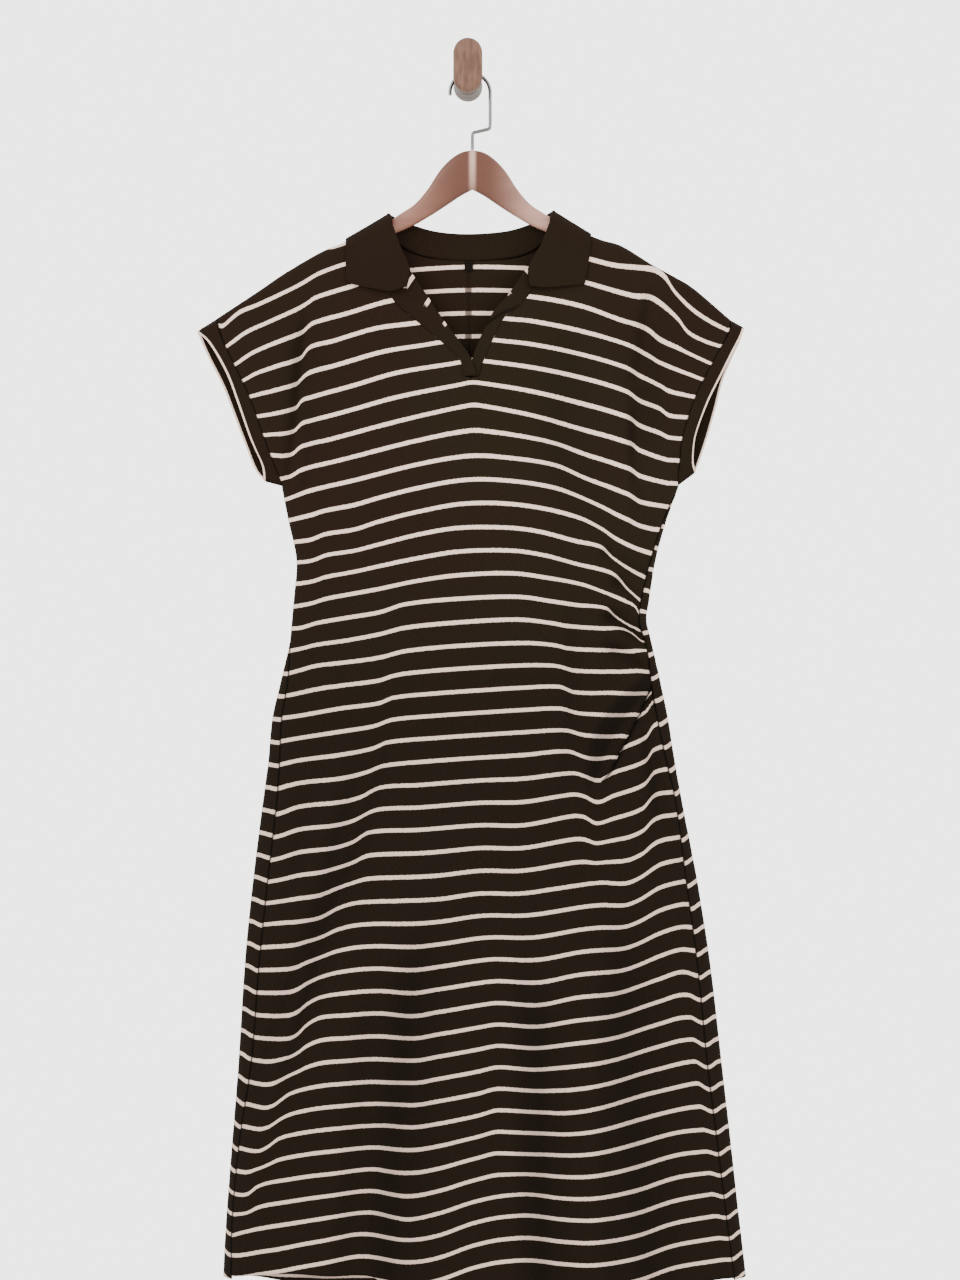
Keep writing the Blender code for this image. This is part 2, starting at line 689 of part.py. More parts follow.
def make_back(side, cloth, home):
    toward = (-1 if side == "left" else 1, 0.2, 0)
    return cloth_object(f"back_{side}", [half_panel(side, "back")], toward, CLOTH, cloth, home)


def make_band(side, rib, home):
    """The ring sewn round an armhole: up the front layer and down the back one."""
    rows = armhole_rows(side)[::-1]
    edges = {
        "front": curve(column_points(rows, ARMHOLE_COLUMNS, "edge_x", "edge_z")),
        "back": curve(column_points(rows, ARMHOLE_COLUMNS, "back_edge_x", "back_edge_z")),
    }
    shares = (0.0, *UPPER_ROWS)
    loop = [("front", share) for share in shares] + [("back", share) for share in shares[-2:0:-1]]
    grid = []
    for face, share in loop:
        inner = at_share(ARMHOLE_LINES[side], share)
        outer = at_share(edges[face], share)
        away = (outer - inner) / np.linalg.norm(outer - inner)
        sign = -1.0 if face == "front" else 1.0
        seam_depth = 0.0 if share in (0.0, 1.0) else armhole_depth(side, face, share)
        low = smooth_step(1.0 - share / 0.2)
        inner = inner + away * (2 * SEAM_GAP + 1.5 * low) + (0.0, UNDERARM_LIFT * low)
        edge_depth = BAND_OPENING * smooth_step(min(share, 1.0 - share) / 0.22)
        row = []
        for across in (0.0, 0.5, 1.0):
            x, z = inner + (outer - inner) * across
            depth = seam_depth + (edge_depth - seam_depth) * across
            row.append((x, HANGER_PLANE + sign * depth, z))
        grid.append(row)
    toward = (-0.2 if side == "left" else 0.2, -1, 0)
    return cloth_object(f"armhole_band_{side}", [grid], toward, RIB, rib, home, closed=True)


def make_placket(side, rib, home):
    """The band along one side of the neck slit, from the squared end up under the collar."""
    rows = SLIT_LEFT if side == "left" else SLIT_RIGHT
    opening = curve(column_points(rows, SLIT_COLUMNS, "open_x", "open_z"))
    outer_points = [inner_edge(side, "front", share, 0.0) for share in UPPER_ROWS[SLIT_ROW:]]
    outer_points = [p for p in outer_points if p[1] < rows[-1][1] + PLACKET_TOP]
    lengths = [0.0]
    for low, high in zip(outer_points, outer_points[1:]):
        lengths.append(lengths[-1] + float(np.linalg.norm(high - low)))
    grid = []
    for outer, length in zip(outer_points, lengths):
        inner = at_share(opening, length / lengths[-1])
        away = (inner - outer) / np.linalg.norm(inner - outer)
        start = outer + away * 2 * SEAM_GAP
        row = []
        for across in (0.0, 0.33, 0.67, 1.0):
            x, z = start + (inner - start) * across
            roll = PLACKET_ROLL * across**2 * smooth_step(length / 60.0)
            row.append((x, body_y(x, z, "front") + roll, z))
        grid.append(row)
    return cloth_object(f"placket_{side}", [grid], (0, -1, 0), RIB, rib, home)


def panel_tops(x):
    """The inside of the front and of the back at the shoulder, as their columns make it."""
    side = "left" if x < HANGER_MIDDLE else "right"
    heights = []
    for face in ("front", "back"):
        points = sorted(tuple(top_edge(side, face, share)) for share in column_shares(side, face))
        heights.append(float(np.interp(x, [p[0] for p in points], [p[1] for p in points])))
    return heights


def laid_over(place, face):
    """A point of the collar's fall, moved out to clear the cloth under it."""
    x, y, z = place
    lift = CLOTH + COLLAR_LIFT
    chord = 0.0
    if abs(x - HANGER_MIDDLE) > HANGER_JOIN + COLLAR_CHORD_START:
        chord = max(0.0, max(panel_tops(x)) - shoulder_height(x))
    top = shoulder_height(x) + chord + lift * SLOPE
    if face == "ridge":
        return (x, HANGER_PLANE, max(z, top))
    if z >= top:
        return (x, y, z)
    cover = body_y(x, z - chord, face, lift)
    return (x, min(y, cover) if face == "front" else max(y, cover), z)


def collar_section(row, end_bulge):
    """One station of the collar: up the stand, over the fold and down to the free edge."""
    value = dict(zip(COLLAR_COLUMNS, row))
    face = value["face"]
    seam = np.array((value["seam_x"], value["seam_y"], value["seam_z"]), dtype=float)
    fold = np.array((value["fold_x"], value["fold_y"], value["fold_z"]), dtype=float)
    edge = np.array(laid_over((value["edge_x"], HANGER_PLANE, value["edge_z"]), face))
    angle = math.radians(value["across"])
    across = np.array((math.cos(angle), math.sin(angle), 0.0))
    up = np.array((0.0, 0.0, 1.0))
    near = fold - across * COLLAR_FOLD_RADIUS - up * COLLAR_FOLD_RADIUS
    far = fold + across * COLLAR_FOLD_RADIUS - up * COLLAR_FOLD_RADIUS
    near = np.array(laid_over(near, face))
    middle = 0.5 * (seam + near)
    if face == "front":
        middle[0], middle[1] = seam[0], near[1]
    made = [tuple(seam), tuple(middle), tuple(near), laid_over(fold, face), laid_over(far, face)]
    for share in (0.2, 0.4, 0.6, 0.8, 1.0):
        place = far + (edge - far) * share
        place[2] -= end_bulge * math.sin(math.pi * share**1.3)
        made.append(laid_over(place, face))
    return made


def make_collar(rib, home):
    left = [collar_section(row, 0.0) for row in COLLAR_LEFT[:-1]]
    left.append(collar_section(COLLAR_LEFT[-1], COLLAR_END_BULGE))
    right = [collar_section(row, 0.0) for row in COLLAR_RIGHT[:-1]]
    right.append(collar_section(COLLAR_RIGHT[-1], COLLAR_END_BULGE))
    grid = right[::-1] + left[1:]
    last = len(grid[0]) - 2
    return cloth_object("collar", [grid], (0, -1, 0), RIB, rib, home, tested=last)


def hanger_edges(x):
    """Upper and lower edge of the hanger at a place across."""
    distance = abs(x - HANGER_MIDDLE)
    last = HANGER[-1][0]
    if distance >= HANGER_JOIN:
        top = min(panel_tops(x)) - HANGER_SEAT
        return top, top - HANGER_ARM_HEIGHT - 2.0 * smooth_step((distance - 170.0) / 40.0)
    if distance <= last:
        top = read(HANGER, HANGER_COLUMNS, "top", distance)
        return top, read(HANGER, HANGER_COLUMNS, "bottom", distance)
    side = 1.0 if x > HANGER_MIDDLE else -1.0
    far = min(panel_tops(HANGER_MIDDLE + side * HANGER_JOIN)) - HANGER_SEAT
    share = (distance - last) / (HANGER_JOIN - last)
    top = HANGER[-1][1] + (far - HANGER[-1][1]) * share
    bottom = HANGER[-1][2] + (far - HANGER_ARM_HEIGHT - HANGER[-1][2]) * share
    return top, bottom


def make_hanger(wood, home):
    steps = 2 * int(HANGER_HALF_SPAN / HANGER_STEP)
    rings = []
    for k in range(steps + 1):
        offset = -HANGER_HALF_SPAN + 2 * HANGER_HALF_SPAN * k / steps
        x = HANGER_MIDDLE + offset
        top, bottom = hanger_edges(x)
        end = HANGER_HALF_SPAN - abs(offset)
        round_off = math.sqrt(min(1.0, (end + 2.0) / 14.0))
        half_height = 0.5 * (top - bottom)
        inside = smooth_step((abs(offset) - 50.0) / 36.0)
        thickness = HANGER_THICKNESS + (HANGER_ARM_THICKNESS - HANGER_THICKNESS) * inside
        half_thickness = 0.5 * thickness * round_off
        squareness = 3.0 - 0.9 * inside
        middle = top - half_height
        rings.append([
            (x, HANGER_PLANE + across, middle + up)
            for across, up in rounded_ring(half_thickness, half_height * round_off, squareness, 14)
        ])
    return loft_object("hanger_body", rings, wood, home)


def make_hook(steel, home):
    """The wire, from its free end over the peg and down to the top of the hanger."""
    centre_x, centre_z = HOOK_CENTRE
    points = []
    angle = HOOK_START
    while angle > -1.0:
        turn = math.radians(angle)
        points.append((centre_x + HOOK_RADIUS * math.cos(turn), centre_z + HOOK_RADIUS * math.sin(turn)))
        angle -= HOOK_STEP
    side = centre_x + HOOK_RADIUS
    foot_x = HANGER_MIDDLE
    foot = HANGER[0][1] + 0.4
    stem = curve([
        (side, centre_z - 4.0), (side, -41.0), (side - 2.5, -48.5), (side - 9.0, -53.0),
        (foot_x + 3.0, -56.5), (foot_x, -61.0), (foot_x, foot),
    ])
    points += [tuple(at_share(stem, k / 16)) for k in range(17)]
    wire = bpy.data.curves.new("hanger_hook", "CURVE")
    wire.dimensions = "3D"
    spline = wire.splines.new("POLY")
    spline.points.add(len(points) - 1)
    for point, (x, z) in zip(spline.points, points):
        point.co = (x * MM, HANGER_PLANE * MM, z * MM, 1.0)
    wire.bevel_depth = WIRE_RADIUS * MM
    wire.bevel_resolution = 2
    wire.use_fill_caps = True
    made = bpy.data.objects.new("hanger_hook", wire)
    home.objects.link(made)
    wire.materials.append(steel)
    return made


def make_peg(wood, home):
    rings = []
    for row in PEG:
        value = dict(zip(PEG_COLUMNS, row))
        outline = rounded_ring(value["half_width"], value["half_height"], value["squareness"], 24)
        rings.append([(x, value["y"], value["middle"] + z) for x, z in outline])
    return loft_object("wall_peg", rings, wood, home)


def make_label(material, home):
    """The small bare tab below the collar seam, inside the back."""
    width, thick, height = LABEL_SIZE
    x = BACK_NECK[len(BACK_NECK) // 2][0]
    z = LABEL_TOP - 0.5 * height
    inside = min(body_y(x + k, z + 0.5 * height, "back") for k in (-6.0, 6.0))
    bpy.ops.mesh.primitive_cube_add(size=1.0)
    made = bpy.context.object
    for parent in list(made.users_collection):
        parent.objects.unlink(made)
    made.name = "neck_label"
    made.data.name = "neck_label"
    made.data.transform(Matrix.Diagonal((width * MM, thick * MM, height * MM, 1.0)))
    made.location = (x * MM, (inside - 2 * SEAM_GAP - 0.5 * thick) * MM, z * MM)
    home.objects.link(made)
    made.data.materials.append(material)
    return made


def main():
    clear_scene()
    home = collection()
    cloth = make_material("dark_brown_knit", CLOTH_COLOUR, 0.95)
    rib = make_material("dark_brown_rib", CLOTH_COLOUR, 0.9)
    tab = make_material("dark_tab", (0.02, 0.015, 0.012), 0.6)
    wood = make_material("hanger_wood", WOOD_COLOUR, 0.35)
    peg_wood = make_material("peg_wood", PEG_COLOUR, 0.5)
    steel = make_material("hook_chrome", STEEL_COLOUR, 0.15, 1.0)
    make_front(cloth, home)
    for side in ("left", "right"):
        make_back(side, cloth, home)
        make_band(side, rib, home)
        make_placket(side, rib, home)
    make_collar(rib, home)
    make_label(tab, home)
    make_hanger(wood, home)
    make_hook(steel, home)
    make_peg(peg_wood, home)


main()
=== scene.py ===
"""The visual model of the polo dress on its hanger and wall peg.

Lengths in the tables are millimetres and the scene is in metres, with +Z up.
The front of the dress faces -Y, and left and right are the viewer's.
"""

import math

import bmesh
import bpy
import numpy as np
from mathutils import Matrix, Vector


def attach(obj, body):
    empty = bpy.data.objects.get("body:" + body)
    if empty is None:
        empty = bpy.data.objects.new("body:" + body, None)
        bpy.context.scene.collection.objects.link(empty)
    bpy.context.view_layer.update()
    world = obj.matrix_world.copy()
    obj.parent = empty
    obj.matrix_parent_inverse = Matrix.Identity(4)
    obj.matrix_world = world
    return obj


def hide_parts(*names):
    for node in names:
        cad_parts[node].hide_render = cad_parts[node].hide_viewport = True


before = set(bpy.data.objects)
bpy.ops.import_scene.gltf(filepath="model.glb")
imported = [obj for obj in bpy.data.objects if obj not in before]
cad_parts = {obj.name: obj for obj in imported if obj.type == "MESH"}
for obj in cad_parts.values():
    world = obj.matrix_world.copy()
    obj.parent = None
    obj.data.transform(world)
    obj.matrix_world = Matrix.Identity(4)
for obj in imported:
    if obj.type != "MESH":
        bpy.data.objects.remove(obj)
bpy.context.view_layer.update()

MM = 0.001

# Driving sizes
CLOTH = 2.0  # from the outer outline to the inside of the cloth
HANGER_PLANE = -26.0  # y of the hanger, the shoulder ridge and the side folds
SHOULDER_RADIUS = 7.5  # inside of the cloth where it bends over the hanger
HEM_HEIGHT = -1321.0
UNDERARM_HEIGHT = -449.0
SLOPE = 1.15  # height of a wall over its thickness, on the sloping shoulder
FLAT_DEPTH = 9.0  # folds reach their full depth this far from the hanger plane
# Above the underarm they do so this far below the shoulder, and where the underarm is this deep
FULL_FOLD_BELOW = 40.0
FULL_FOLD_DEPTH = 12.0
EDGE_SHARPNESS = 5.0  # how flat a level section is before it turns at its side
HEM_REACH = 260.0  # how far above the hem the rows follow its curve
LEAST_WRAP = 0.2  # a smaller wrap counts as none
SHOULDER_MIDDLE = 3.5  # x between the two shoulder lines
NECK_RISE = 0.6  # slope of the shoulder surface carried on over the neck
# Above the underarm each face bulges by its fullness, less towards the sides
CHEST_MIDDLE = 10.0
CHEST_HALF = 230.0
CHEST_FULLNESS = {"front": 4.0, "back": 2.0}
OUTWARD = {"front": -1.0, "back": 1.0}  # which way along y each face stands off the hanger plane

# Level sections of the body. left and right are the outline; left_wrap and right_wrap say how far
# the back comes round to the front; front and back are the depths each side of the hanger plane.
SECTION_COLUMNS = ("height", "left", "right", "left_wrap", "right_wrap", "front", "back")
SECTIONS = (
    (-1321, -271, 308, 9, 13, 28, 17),
    (-1260, -268, 301, 7, 14, 28, 17),
    (-1171, -261, 291, 8, 15, 27, 16),
    (-1083, -254, 281, 14, 16, 26, 16),
    (-972, -247, 268, 16, 14, 24, 15),
    (-883, -238, 254, 16, 12, 22, 14),
    (-795, -227, 237, 15, 7, 20, 13.5),
    (-750, -221, 229, 12, 9, 18, 13.5),
    (-706, -217, 222, 10, 11, 17, 13.2),
    (-662, -207, 213, 7, 9, 16, 13),
    (-618, -197, 203, 0, 6, 14, 12),
    (-595, -195, 198, 0, 8, 14, 11.5),
    (-573, -193, 201, 0, 8, 14, 11),
    (-529, -190, 208, 0, 5, 15, 11),
    (-485, -199, 220, 0, 3, 16, 12),
    (-449, -206, 233, 0, 0, 16, 12),
)

# How far the hem hangs below its two corners
HEM_COLUMNS = ("x", "front", "back")
HEM = (
    (-271, 0, 0),
    (-235, -5, 4),
    (-197, -8, 11),
    (-150, -7, 15),
    (-108, -6, 16),
    (-92, 3, 16),
    (-75, 11, 16),
    (35, 14, 16),
    (145, 18, 16),
    (190, 15, 13),
    (272, 0, 4),
    (308, 0, 0),
)

# The middle of each half: the centre-back seam, and the line below the neck slit in front
CENTRE_COLUMNS = ("height", "x")
CENTRE = ((-1321, 18), (-900, 9), (-449, 3), (-150, 1))

# Outer shoulder lines, from the armhole seam to the neck
SHOULDERS = {
    "left": (
        (-277, -261), (-233, -232), (-199, -209), (-161, -187), (-134, -175.5), (-105, -161),
        (-86, -150.3),
    ),
    "right": (
        (289, -262), (250, -228.5), (230, -216), (205, -202.5), (190, -193), (168, -180), (146, -173.5),
        (124, -164), (94, -147),
    ),
}

# Armholes from the shoulder to the underarm: the seam of the band, and its open edge on each layer
ARMHOLE_COLUMNS = ("seam_x", "seam_z", "edge_x", "edge_z", "back_edge_x", "back_edge_z")
ARMHOLES = {
    "left": (
        (-277, -261, -299, -277, -299, -277),
        (-272, -283, -286, -289, -288, -304),
        (-259, -312, -267, -322, -273, -334),
        (-241, -350, -254, -356, -262, -362),
        (-226, -392, -240, -395, -251, -391),
        (-216, -419, -228, -422, -237, -426),
        (-206, -449, -226, -440, -226, -440),
    ),
    "right": (
        (289, -262, 305, -273, 305, -273),
        (288, -278, 299, -287, 300, -289),
        (270, -312, 281, -323, 284, -327),
        (251, -350, 264, -357, 275, -361),
        (237, -394, 251, -393, 266, -392),
        (234, -423, 249, -417, 257, -417),
        (233, -449, 252, -430, 252, -430),
    ),
}

UNDERARM_LIFT = 3.2  # clears the bands of the side seams below them
BAND_OPENING = 9.0  # from the hanger plane to a band's open edge
ARMHOLE_FLARE = 45.0  # how far into the panel the armhole holds the layers apart
ARMHOLE_OPENS = 0.25  # share of the armhole over which the layers part, above the underarm
ARMHOLE_CLOSES = (0.35, 0.3)  # where they start to close again, and over how much
BAND_EDGE_OPENS = 0.22  # share of a band's open edge that rounds off at each end
BAND_LOW = 0.2  # share of the armhole where the band is tucked, lifted and less bulged at its end

# The neck slit: its panel edge, and the open edge of the placket, from the squared end upward
SLIT_COLUMNS = ("edge_x", "edge_z", "open_x", "open_z")
SLIT_BOTTOM = (3.5, -328.5)
SLITS = {
    "left": (
        (-5.3, -327, 3.0, -327),
        (-11, -306, 0.5, -302),
        (-47, -274, -26, -266),
        (-82, -243, -55.5, -222),
        (-88, -216, -70, -202),
    ),
    "right": (
        (12.3, -327, 4.0, -327),
        (17.3, -310, 6.5, -303),
        (39, -264, 27, -258),
        (57, -249, 46, -235),
        (75, -222, 64, -209),
    ),
}
PLACKET_TOP = 14.0  # how far above the table's last row the placket may end
PLACKET_ROLL = 2.5  # how far its open edge rolls inward
PLACKET_ROLL_FULL = 60.0  # how far along it from the squared end the roll is full
NECK_TOPS = {"left": (-86, -152.6), "right": (94, -149.3)}

# The back neck edge, from the left shoulder to the right
BACK_NECK = (
    (-86, -152.6), (-84.5, -169), (-73, -183.5), (-43, -193.5), (1, -197),
    (50, -194), (76, -184.5), (91, -168), (94, -149.3),
)

# Folds, each a bent line from start through middle to end. A negative depth is a trough.
# open_end is 1 where the fold runs into a seam or the hem at full depth.
FOLD_COLUMNS = ("x0", "z0", "x1", "z1", "x2", "z2", "width", "depth", "open_end")
FRONT_FOLDS = (
    (-91, -684, -151, -925, -252, -1211, 21, -5, 0),
    (-30, -900, -62, -1100, -78, -1345, 26, -7, 1),
    (-118, -930, -140, -1120, -158, -1345, 24, 5, 1),
    (38, -880, 44, -1100, 50, -1345, 25, 6, 1),
    (86, -960, 90, -1130, 92, -1345, 20, -5, 1),
    (128, -900, 134, -1130, 142, -1345, 24, 5, 1),
    (170, -880, 190, -1100, 214, -1345, 26, -6, 1),
    (-172, -235, -178, -340, -184, -450, 16, -4, 0),
    (205, -232, 200, -340, 188, -450, 18, -4, 0),
    (128, -262, 112, -390, 152, -545, 24, -3, 0),
    (148, -515, 163, -531, 199, -550, 8, -3, 1),
    (160, -546, 173, -562, 193, -578, 8, -4, 1),
    (158, -567, 176, -583, 194, -597, 8, 4, 1),
    (150, -582, 170, -602, 197, -621, 9, -6, 1),
    (150, -603, 174, -620, 198, -639, 8, 4, 1),
    (144, -622, 176, -636, 200, -657, 8, -5, 1),
    (138, -800, 158, -735, 202, -672, 11, -6, 1),
    (120, -770, 146, -700, 198, -655, 11, 4, 1),
)
BACK_FOLDS = (
    (88, -690, 150, -930, 232, -1200, 22, -4, 0),
    (30, -900, 58, -1100, 74, -1345, 26, -5, 1),
    (-45, -900, -52, -1100, -60, -1345, 24, 4, 1),
    (-130, -900, -142, -1120, -160, -1345, 24, -5, 1),
    (140, -960, 150, -1130, 160, -1345, 22, 4, 1),
    (176, -240, 178, -340, 180, -450, 17, -3, 0),
    (-168, -240, -172, -340, -172, -450, 17, -3, 0),
    (150, -590, 172, -605, 197, -622, 9, -3, 1),
    (146, -625, 174, -640, 200, -660, 9, -3, 1),
)

BACK_NECK_SHARE = 0.6  # share of a back's columns that end at the shoulder, the rest at the neck
SLIT_SHARES = (0.36, 0.40)  # the slit opens between these shares of the height above the underarm

# Collar, half by half, from the centre back round to the front end: the sewn edge, the fold and the
# free edge, each as x, y, z. Across says which way the fold turns, as a plan angle in degrees.
COLLAR_COLUMNS = (
    "face", "seam_x", "seam_y", "seam_z", "fold_x", "fold_y", "fold_z", "edge_x", "edge_z", "across",
)
COLLARS = {
    "left": (
        ("back", 1, -15.2, -196.2, 1, -14.0, -168, 1, -217, 90),
        ("back", -40, -15.2, -192.8, -34, -14.2, -165.5, -46, -215, 95),
        ("back", -69, -16.9, -183.5, -62, -14.6, -158, -92, -203, 110),
        ("back", -81, -18.6, -170, -78, -16.5, -152, -122, -190, 140),
        ("back", -83.5, -18.6, -158, -83, -17.6, -149, -129, -181, 152),
        ("back", -84.5, -21.6, -153.5, -86.5, -21.5, -147.5, -133, -175.5, 165),
        ("ridge", -85, -26, -152.5, -88, -26, -147.0, -134, -174, 180),
        ("front", -85.5, -30, -154, -87.5, -33, -148.0, -134.5, -178, 200),
        ("front", -86, -34.5, -159, -86, -39.5, -154, -134.5, -185, 222),
        ("front", -86, -36, -167, -84.2, -40.6, -162, -134.5, -189, 240),
        ("front", -87, -38, -188, -75.5, -42.6, -186, -134.5, -204, 255),
        ("front", -84, -40.2, -212, -66.5, -43.6, -208, -134, -219, 262),
        ("front", -78, -41.2, -231, -69, -43.6, -227, -134, -223.5, 265),
    ),
    "right": (
        ("back", 1, -15.2, -196.2, 1, -14.0, -168, 1, -217, 90),
        ("back", 47, -15.2, -192.8, 42, -14.2, -165, 54, -215, 85),
        ("back", 73, -17.2, -184.5, 70, -14.6, -157, 98, -202, 70),
        ("back", 87.5, -18.6, -169, 85, -16.5, -149.5, 125, -184, 40),
        ("back", 91, -18.9, -155, 89.5, -17.6, -146, 131, -176.5, 28),
        ("back", 92, -21.6, -150.5, 93, -21.5, -144.5, 134, -171, 15),
        ("ridge", 92.5, -26, -149.3, 94.8, -26, -144.0, 135, -169, 0),
        ("front", 92.8, -30, -150.5, 94.6, -33, -145.0, 135.5, -171.5, -20),
        ("front", 93, -34.5, -156, 93, -39.5, -152, 135.5, -178, -42),
        ("front", 92.5, -36, -164, 91, -40.6, -160, 135, -185, -60),
        ("front", 89, -38, -186, 81.5, -42.6, -184, 133, -201, -75),
        ("front", 84, -40.2, -208, 69.5, -43.6, -206, 130.5, -217, -82),
        ("front", 82, -41.2, -226, 70, -43.6, -227, 128.5, -225.5, -85),
    ),
}
COLLAR_LIFT = 0.4  # the fall's clearance over the cloth
COLLAR_FOLD_RADIUS = 1.4
EDGE_SIDE = 0.1  # tells which face the free edge is laid over
# How far each end bows below the line from fold to tip
COLLAR_END_BULGES = {"left": 6.5, "right": 2.0}
COLLAR_BULGE_PLACE = 0.53  # below 1 the bow is deepest nearer the fold
COLLAR_FALL_SHARES = (0.2, 0.4, 0.6, 0.8, 1.0)
COLLAR_STEPS = (5, 7)  # across the collar and along it
COLLAR_FOLD_PLACE = 3  # which point of a station is the fold

# Hanger: distance from its middle, upper edge, lower edge. Past the last row the upper edge follows
# the inside of the shoulder.
HANGER_MIDDLE = 5.0
HANGER_COLUMNS = ("distance", "top", "bottom")
HANGER = (
    (0, -75, -119), (13, -78, -126), (25, -86, -134), (37, -99, -142), (50, -119, -150), (64, -135, -158),
    (82, -147, -166),
)
HANGER_THICKNESS = 12.0
HANGER_ARM_THICKNESS = 10.4
HANGER_ARM_HEIGHT = 16.0
HANGER_HALF_SPAN = 216.0
HANGER_JOIN = 90.0  # where the arm goes under the cloth
HANGER_SEAT = 1.0  # between the arm and the cloth it carries
HANGER_END = {"from": 170.0, "over": 40.0, "deeper": 2.0}  # the arm deepens a little at its end
HANGER_ROUNDING = 14.0  # how far from its tip the arm is rounded off
HANGER_THINS = (50.0, 36.0)  # from where, and over how much, the arm grows thinner
HANGER_SQUARENESS = (3.0, 0.9)  # of the section at the middle, and how much less it is on the arm
HANGER_SIDES = 40

# Hook: a wire bent round the peg
WIRE_RADIUS = 1.9
HOOK_CENTRE = (2.4, -11.7)
HOOK_RADIUS = 22.2
HOOK_START = 187.0  # degrees at the free end, counted anticlockwise from +X
HOOK_STEP = 3.0  # degrees
HOOK_STEM_STEPS = 10
HOOK_SIDE = HOOK_CENTRE[0] + HOOK_RADIUS
# The wire below the bow, as x, z, down to the top of the hanger
HOOK_STEM = (
    (HOOK_SIDE, HOOK_CENTRE[1] - 4.0), (HOOK_SIDE, -40.0), (HOOK_SIDE - 0.2, -48.5),
    (HOOK_SIDE - 1.4, -51.4), (HOOK_SIDE - 5.0, -52.6), (HANGER_MIDDLE + 5.5, -54.8),
    (HANGER_MIDDLE + 1.4, -56.0), (HANGER_MIDDLE, -59.5), (HANGER_MIDDLE, HANGER[0][1] + 0.4),
)

# Wall peg: turned at the wall, hollowed for the hook, and rising to a tall front
PEG_COLUMNS = ("y", "middle", "half_width", "half_height")
PEG = (
    (0, 0, 16.0, 16.0),
    (-7, 0, 16.0, 16.0),
    (-15, -2.4, 14.8, 13.8),
    (-23, -4.1, 13.2, 11.95),
    (-29, -4.1, 13.2, 11.95),
    (-35, 0.4, 14.6, 16.4),
    (-42, 8.5, 15.6, 23.6),
    (-48, 14.6, 16.0, 29.4),
    (-50, 15.0, 14.4, 27.6),
)

# The rounded rim of the peg's front: what share of the outline it keeps, and its y
PEG_RIM = ((0.93, -50.8), (0.8, -51.2))
PEG_SIDES = 64

LABEL_SIZE = (9.5, 1.0, 9.0)
LABEL_TOP = -198.6
LABEL_BOW = 0.5  # its lower edge hangs lower at the middle
LABEL_CURL = 0.9  # how far its lower edge stands off the back

